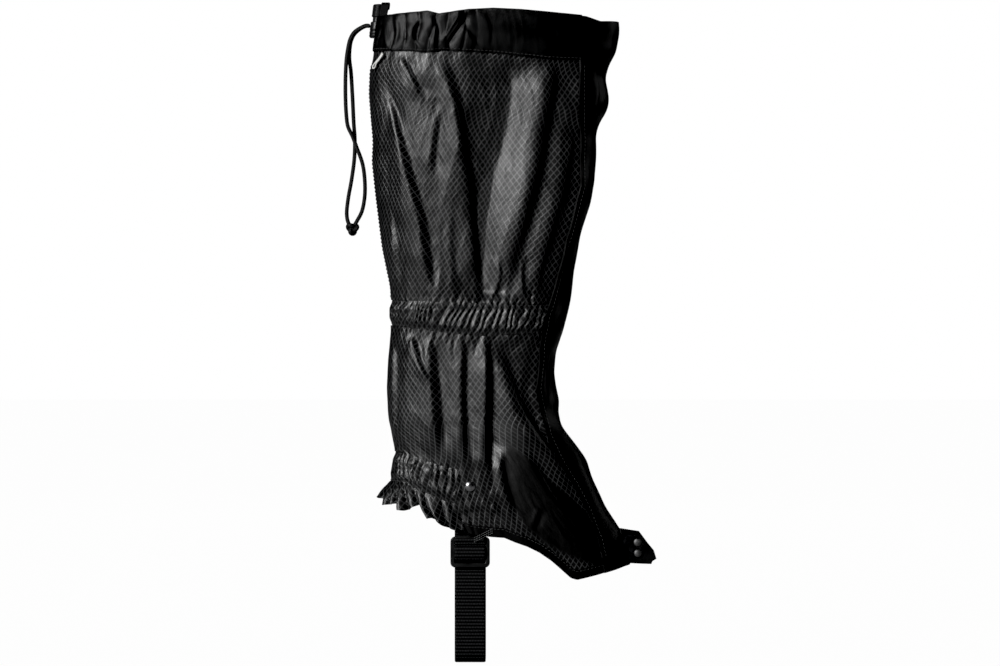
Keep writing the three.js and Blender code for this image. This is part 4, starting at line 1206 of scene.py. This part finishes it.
def make_front():
    """The flap, the hook and loop tapes that shut it, and the underlap behind them."""
    start, stop = shifted(front_of(OUTER), -2.4), shifted(front_of(INNER), 3.0)
    flap, cut = cloth("storm_flap_cloth", start, stop, HEM_LINE, raised(HEM_TOP_LINE, -0.8), flap_shape,
                      OUTER, thick=1.5, lift=0.4)
    settle(flap, PLAIN, None, ["storm_flap_upper", "storm_flap_lower"])
    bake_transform(flap)
    start, stop = shifted(front_of(OUTER), 7), shifted(front_of(INNER), -6)
    low, high = raised(HEM_LINE, 9), raised(HEM_TOP_LINE, -5)
    hook, _ = cloth("hook_tape_strip", start, stop, low, high, flap_shape, OUTER, lift=-2.4, step=1.4)
    settle(hook, TAPE, None, ["hook_tape_upper", "hook_tape_lower"])
    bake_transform(hook)
    loop, _ = cloth("loop_tape_strip", start, stop, low, high, flap_shape, OUTER, lift=-4.4, step=1.4)
    settle(loop, TAPE, "root", ["loop_tape"])
    under, cut = cloth("underlap_cloth", shifted(front_of(OUTER), 4), front_of(INNER), raised(HEM_LINE, 2),
                       raised(HEM_TOP_LINE, -1), flap_shape, OUTER, thick=1.2, lift=-6.2, step=1.4)
    settle(under, PLAIN, "root", ["underlap"])


def flat_shape(angle, z, side):
    return 0 * z


def make_bands():
    """The calf band's facing, the lower edge's binding, and the two elastics that go round the calf."""
    for word, side in SIDES:
        facing, cut = cloth(f"band_facing_{word}", front_of(side), at_angle(side * CALF_END), BAND_LOW_LINE,
                            BAND_TOP_LINE, calf_band_shape, side, lift=-4.2, thick=0.8, step=1.1)
        settle(facing, PLAIN, "root", [f"calf_band_facing_{word}"])
        edge, _ = cloth(f"hem_tape_{word}", front_of(side), ankle_of(side), HEM_LINE, raised(HEM_LINE, 8),
                        leg_shape, side, lift=0.7, thick=2.6, step=0.9)
        settle(edge, BINDING, "root", [f"hem_binding_{word}"])
    plan = [("calf", front_of, 3, BAND_LOW_LINE, BAND_TOP_LINE, -2.6),
            ("heel", ankle_of, 2, ANKLE_LOW_LINE, ANKLE_TOP_LINE, -3.0)]
    for word, edge_of, spare, low, high, lift in plan:
        start, stop = rotated(edge_of(OUTER), -spare), rotated(edge_of(INNER), spare - 360)
        band, _ = cloth(f"{word}_elastic_tape", start, stop, raised(low, 1.5), raised(high, -1.5), flat_shape,
                        OUTER, lift=lift, thick=1.3, step=1.6)
        settle(band, ELASTIC, "root", [f"{word}_elastic"])


make_hem()
make_front()
make_bands()

# ---- stirrup, buckle and rivets -------------------------------------------------------------

RIVET_X, RIVET_Z = -5.6, -138.0
WEB_WIDTH, WEB_THICK, WEB_Y = 25.0, 1.4, 30.8
STRAP_BOTTOM, STRAP_CORNER = -280.5, 9.0
ANCHOR_TOP = RIVET_Z + 9
BUCKLE_WIDTH, BUCKLE_TOP, BUCKLE_BOTTOM, BUCKLE_THICK = 31.8, -178.8, -203.8, 3.2
BUCKLE_SLOTS, SLOT_WIDTH = ((-183.0, -187.4), (-196.2, -200.2)), 24.6
# Half a webbing's thickness and the play between it and the buckle.
WEB_REACH = WEB_THICK / 2 + 0.3
BUCKLE_BACK = -(WEB_Y + WEB_REACH)
WRAP_Y = BUCKLE_BACK - BUCKLE_THICK - WEB_REACH
TAIL_LENGTH = 34.0


def arc_points(y, z, radius, start, stop, steps=6):
    turns = np.radians(np.linspace(start, stop, steps))
    return [(y + radius * math.cos(t), z + radius * math.sin(t)) for t in turns]


def make_stirrup():
    top = BUCKLE_SLOTS[0][0] - WEB_REACH
    loop = [(-WEB_Y, ANCHOR_TOP), (-WEB_Y, top + 3),
            *arc_points((WRAP_Y - WEB_Y) / 2, top + 0.6, 2.2, 0, -180)[1:-1],
            (WRAP_Y, top + 2.4), (WRAP_Y, BUCKLE_TOP - 1.2)]
    anchor = webbing_strip("outer_anchor_loop", loop, WEB_WIDTH, WEB_THICK, centre_x=RIVET_X)
    settle(anchor, WEBBING, "stirrup", ["anchor_webbing_outer"])
    low, high = BUCKLE_SLOTS[1][0] - WEB_REACH, BUCKLE_SLOTS[0][1] + WEB_REACH
    tail_y = -WEB_Y + WEB_THICK + 0.6
    edge, turn_z = WEB_Y - STRAP_CORNER, STRAP_BOTTOM + STRAP_CORNER
    run = [(WEB_Y, ANCHOR_TOP), (WEB_Y, -190), (WEB_Y, -250),
           *arc_points(edge, turn_z, STRAP_CORNER, 0, -90), (0, STRAP_BOTTOM),
           *arc_points(-edge, turn_z, STRAP_CORNER, -90, -180), (-WEB_Y, -250), (-WEB_Y, -215),
           (-WEB_Y, low - 1.4), (-WEB_Y - 1.2, low), (WRAP_Y + 1, low + 0.2), (WRAP_Y, low + 1.6),
           (WRAP_Y, high - 1.6), (WRAP_Y + 1, high - 0.2), (-WEB_Y - 1.2, high), (tail_y - 0.2, high - 0.6),
           (tail_y, high - 3), (tail_y + 0.3, high - 18), (tail_y, high - TAIL_LENGTH)]
    strap = webbing_strip("underfoot_webbing", run, WEB_WIDTH, WEB_THICK, centre_x=RIVET_X)
    settle(strap, WEBBING, "stirrup", ["underfoot_strap"])

    middle = (RIVET_X, (BUCKLE_TOP + BUCKLE_BOTTOM) / 2)
    outline = rounded(BUCKLE_WIDTH, BUCKLE_TOP - BUCKLE_BOTTOM, 4, middle)
    slots = [rounded(SLOT_WIDTH, a - b, 1.2, (RIVET_X, (a + b) / 2), 4) for a, b in BUCKLE_SLOTS]
    buckle = plate_from("ladder_buckle", outline, slots, BUCKLE_THICK, 0.7, BUCKLE_BACK - BUCKLE_THICK / 2)
    settle(buckle, PLASTIC, "stirrup", ["strap_buckle"])

    height = np.array(RIVET_Z)
    for word, side in SIDES:
        face = abs(leg(angle_at(RIVET_X, height, side), height)[1]) + 0.3
        cap = [(0, face + 2.2), (1.6, face + 2.05), (3.1, face + 1.5), (4.05, face + 0.8), (4.25, face + 0.2),
               (3.6, face - 0.1), (1.5, face - 0.1), (1.5, WEB_Y - 2.9), (0, WEB_Y - 2.9)]
        head = turned(f"anchor_rivet_{word}_cap", cap, (RIVET_X, 0, RIVET_Z), side)
        settle(head, RIVET, "root", [f"anchor_rivet_{word}"])


# ---- toe tab and lace hook ------------------------------------------------------------------

TAB_Y, TAB_THICK = -11.2, 2.6
TAB_FACE = TAB_Y - TAB_THICK / 2
TAB_OUTLINE = [(115.5, -173), (125, -174.5), (131.5, -175.5), (138.5, -185), (143.5, -191), (145.7, -198),
               (142.5, -200), (141.5, -202.3), (134, -202.1), (122.5, -201.5)]
HOOK_CENTRE, HOOK_TURN, HOOK_WIDTH, HOOK_THICK = (130.4, -189.0), math.radians(-53), 13.0, 0.8
HOOK_RIVETS = [(130.3, -184.6), (130.6, -193.4)]
HOOK_RUN = [(0, -5.6), (0, 0), (0, 5.0), (-0.7, 6.6), (-1.9, 7.9), (-2.55, 9.6), (-2.5, 13.4)]


def hook_in_place(points):
    """Tapers the hook towards both ends, turns it and sets it on the tab's face."""
    x = points[:, 0] * (1 - 0.16 * smooth(points[:, 2], 9, 13.4) - 0.12 * smooth(-points[:, 2], 3.5, 5.6))
    c, s = math.cos(HOOK_TURN), math.sin(HOOK_TURN)
    y = points[:, 1] + TAB_FACE - 0.3 - HOOK_THICK / 2
    return np.stack([x * c + points[:, 2] * s + HOOK_CENTRE[0], y,
                     -x * s + points[:, 2] * c + HOOK_CENTRE[1]], axis=1)


def make_toe():
    tab = plate_from("toe_tab_cloth", TAB_OUTLINE, [], TAB_THICK, 0.5, TAB_Y)
    settle(tab, BINDING, "root", ["toe_tab"])
    hook = webbing_strip("lace_hook_bent", HOOK_RUN, HOOK_WIDTH, HOOK_THICK, relief=0)
    moved_points(hook, hook_in_place)
    settle(hook, DARK_METAL, "root", ["lace_hook"])
    base = -TAB_FACE + HOOK_THICK + 0.45
    profile = [(0, base + 1.2), (1.4, base + 1.1), (2.6, base + 0.7), (3.2, base + 0.1), (2.9, base - 0.1),
               (1.0, base - 0.1), (1.0, base - 3.5), (0, base - 3.5)]
    for k, (x, z) in enumerate(HOOK_RIVETS):
        rivet = turned(f"lace_hook_rivet_{k + 1}", profile, (x, 0, z))
        settle(rivet, HOOK_RIVET, "root", [f"hook_rivet_{k + 1}"])


# ---- cord lock, its tape and the white tag loop ---------------------------------------------

LOCK_X, LOCK_TILT_Z, LOCK_TILT = -81.8, 236.0, math.radians(7)
BARREL_SIZE, PLUNGER_SIZE, TAG_R = (11, 14.4), (10.8, 14), 0.62
GRIP_LOW, GRIP_PITCH, GRIP_COUNT = 244.4, 1.1, 8
TAPE_X, TAPE_Z = LOCK_X + 5.0, 241.6
TAG_LOOP = [[-76.6, -28.4, 212.2], [-78.4, -26.8, 209.4], [-80.6, -24.8, 206.6], [-82.8, -22.8, 204.2],
            [-84.6, -20.8, 201.8], [-84.7, -20.4, 200.4], [-83.4, -21.6, 200.2], [-82.3, -23.1, 202.0],
            [-81.5, -24.0, 204.2], [-79.9, -25.4, 206.0], [-77.7, -27.2, 208.9], [-76.0, -28.6, 211.2]]
TAPE_RUN = [(10, 8.6), (10, 10.6), (8, 12.2), (5, 12.8), (1, 12.9), (-3, 12.8), (-6.5, 12.6), (-8.4, 11.4),
            (-8.9, 9), (-9, 4), (-9, -2), (-9, -8), (-9.4, -13), (-10.6, -17.5)]


def leaned(points):
    """Leans the lock's top towards the shin."""
    x = points[:, 0] + (points[:, 2] - LOCK_TILT_Z) * math.tan(LOCK_TILT)
    return np.stack([x, points[:, 1], points[:, 2]], axis=1)


def slanted_tape(points):
    """Narrows the tape towards its sewn foot and slants it back to the calf."""
    width = 1 - 0.3 * smooth(-points[:, 2], -8, 8)
    x = points[:, 0] * width + 0.17 * points[:, 2] + TAPE_X
    return np.stack([x, points[:, 1], points[:, 2] + TAPE_Z], axis=1)


def make_lock():
    barrel = [(226.4, 1.6), (226.5, 0.9), (227.2, 0.3), (228.6, 0.0), (229.2, 0.35), (229.8, 0.0),
              (231.4, 0.0), (232.0, 0.35), (232.6, 0.0), (238.0, 0.0), (238.9, 0.1), (239.3, 0.6),
              (239.4, 1.6)]
    body = oval_stack("cord_lock_barrel", (LOCK_X, 0, 0), BARREL_SIZE, barrel)
    moved_points(body, leaned)
    settle(body, PLASTIC, "root", ["cord_lock_body"])
    plunger = [(234.0, 1.2), (242.9, 1.1), (243.5, 0.8), (243.8, 0.1)]
    for height in GRIP_LOW + GRIP_PITCH * np.arange(GRIP_COUNT):
        plunger += [(height, 0.0), (height + 0.5, 0.3)]
    plunger += [(252.6, 0.2), (253.4, 0.8), (253.6, 2.6)]
    button = oval_stack("cord_lock_plunger", (LOCK_X, 0, 0), PLUNGER_SIZE, plunger)
    moved_points(button, leaned)
    settle(button, PLASTIC, "lock_button", ["cord_lock_button"])
    tape = webbing_strip("cord_lock_loop_tape", TAPE_RUN, 6.6, 0.9, rib=1.2, relief=0.1)
    moved_points(tape, slanted_tape)
    settle(tape, BINDING, "root", ["cord_lock_tape"])
    tag, _, _ = tube("white_tag_loop", TAG_LOOP, TAG_R, sides=12, spacing=0.4)
    settle(tag, WHITE, "root", ["tag_loop"])


# ---- rows of stitching ----------------------------------------------------------------------

ROW_POINTS = 500
# How far a row of stitches lies inside an elastic casing's edge, and above the hem's own seam.
ROW_INSET, HEM_ROW = 1.3, 1.8
TACK_START, TACK_LENGTH, TACK_Z, TACK_SLOPE, TACK_PITCH = -2.5, 16.0, -183.2, 0.5, 1.7


def row_on_cloth(name, line, start, stop, shape, side, lift):
    """Stitches along a line of [x, height] over the cloth between two upright edges."""
    share = np.linspace(0.004, 0.996, ROW_POINTS)
    z = edge_height(line, start, stop, share)
    return seam_on_leg(name, span_angles(start, stop, share, z), z, shape, side, lift)


def upright_row(name, edge, low, high, shape, side, lift):
    """Stitches up the cloth beside an upright edge."""
    z = np.linspace(low, high, ROW_POINTS)
    return seam_on_leg(name, edge(z), z, shape, side, lift)


def make_stitches():
    for word, side in SIDES:
        front, ankle, calf = front_of(side), ankle_of(side), at_angle(side * CALF_ROW_END)
        hem_end = at_angle(side * HEM_ROW_END)
        rows = [
            ("hem_seam", raised(HEM_SEAM_LINE, HEM_ROW), front, hem_end, hem_shape, 0.6),
            ("band_top", raised(BAND_TOP_LINE, -ROW_INSET), front, calf, calf_band_shape, 0.12),
            ("band_low", raised(BAND_LOW_LINE, ROW_INSET), front, calf, calf_band_shape, 0.12),
            ("ankle_top", raised(ANKLE_TOP_LINE, -ROW_INSET), ankle, calf, heel_band_shape, 0.12),
            ("ankle_low", raised(ANKLE_LOW_LINE, ROW_INSET), ankle, calf, heel_band_shape, 0.12),
            ("hem_tape", raised(HEM_LINE, 6.6), front, ankle, leg_shape, 0.85),
        ]
        for name, line, start, stop, shape, lift in rows:
            row = row_on_cloth(f"stitches_{name}_{word}", line, start, stop, shape, side, lift)
            settle(row, THREAD, "root")
        calf_seam = at_angle(side * CALF_SEAM)
        seam = upright_row(f"stitches_calf_{word}", calf_seam, 14, 206, leg_shape, side, 0.12)
        settle(seam, THREAD, "root")
    flap_rows = (("seam", shifted(front_of(OUTER), 0.8), 202), ("edge", shifted(front_of(INNER), -0.6), 236))
    for word, edge, top in flap_rows:
        row = upright_row(f"stitches_flap_{word}", edge, -196, top, flap_shape, OUTER, 0.5)
        settle(row, THREAD, None)
        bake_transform(row)
    for k in range(3):
        run = np.linspace(0, TACK_LENGTH, 60)
        z = TACK_Z + TACK_SLOPE * run + TACK_PITCH * k
        tack = seam_on_leg(f"bar_tack_{k + 1}", angle_at(TACK_START + run, z, OUTER), z, leg_shape, OUTER,
                           lift=1.3, pitch=1.6, length=1.1, radius=0.3)
        settle(tack, PALE_THREAD, "root")


make_stirrup()
make_toe()
make_lock()
make_stitches()

# The CAD nodes that show as they are, each with a finish of its own.
CARRIED_LOOKS = {"cord_lock_spring": SPRING, "anchor_washer_outer": RIVET, "anchor_washer_inner": RIVET}
for node_name, look in CARRIED_LOOKS.items():
    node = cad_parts[node_name]
    node.data.materials.clear()
    node.data.materials.append(look)
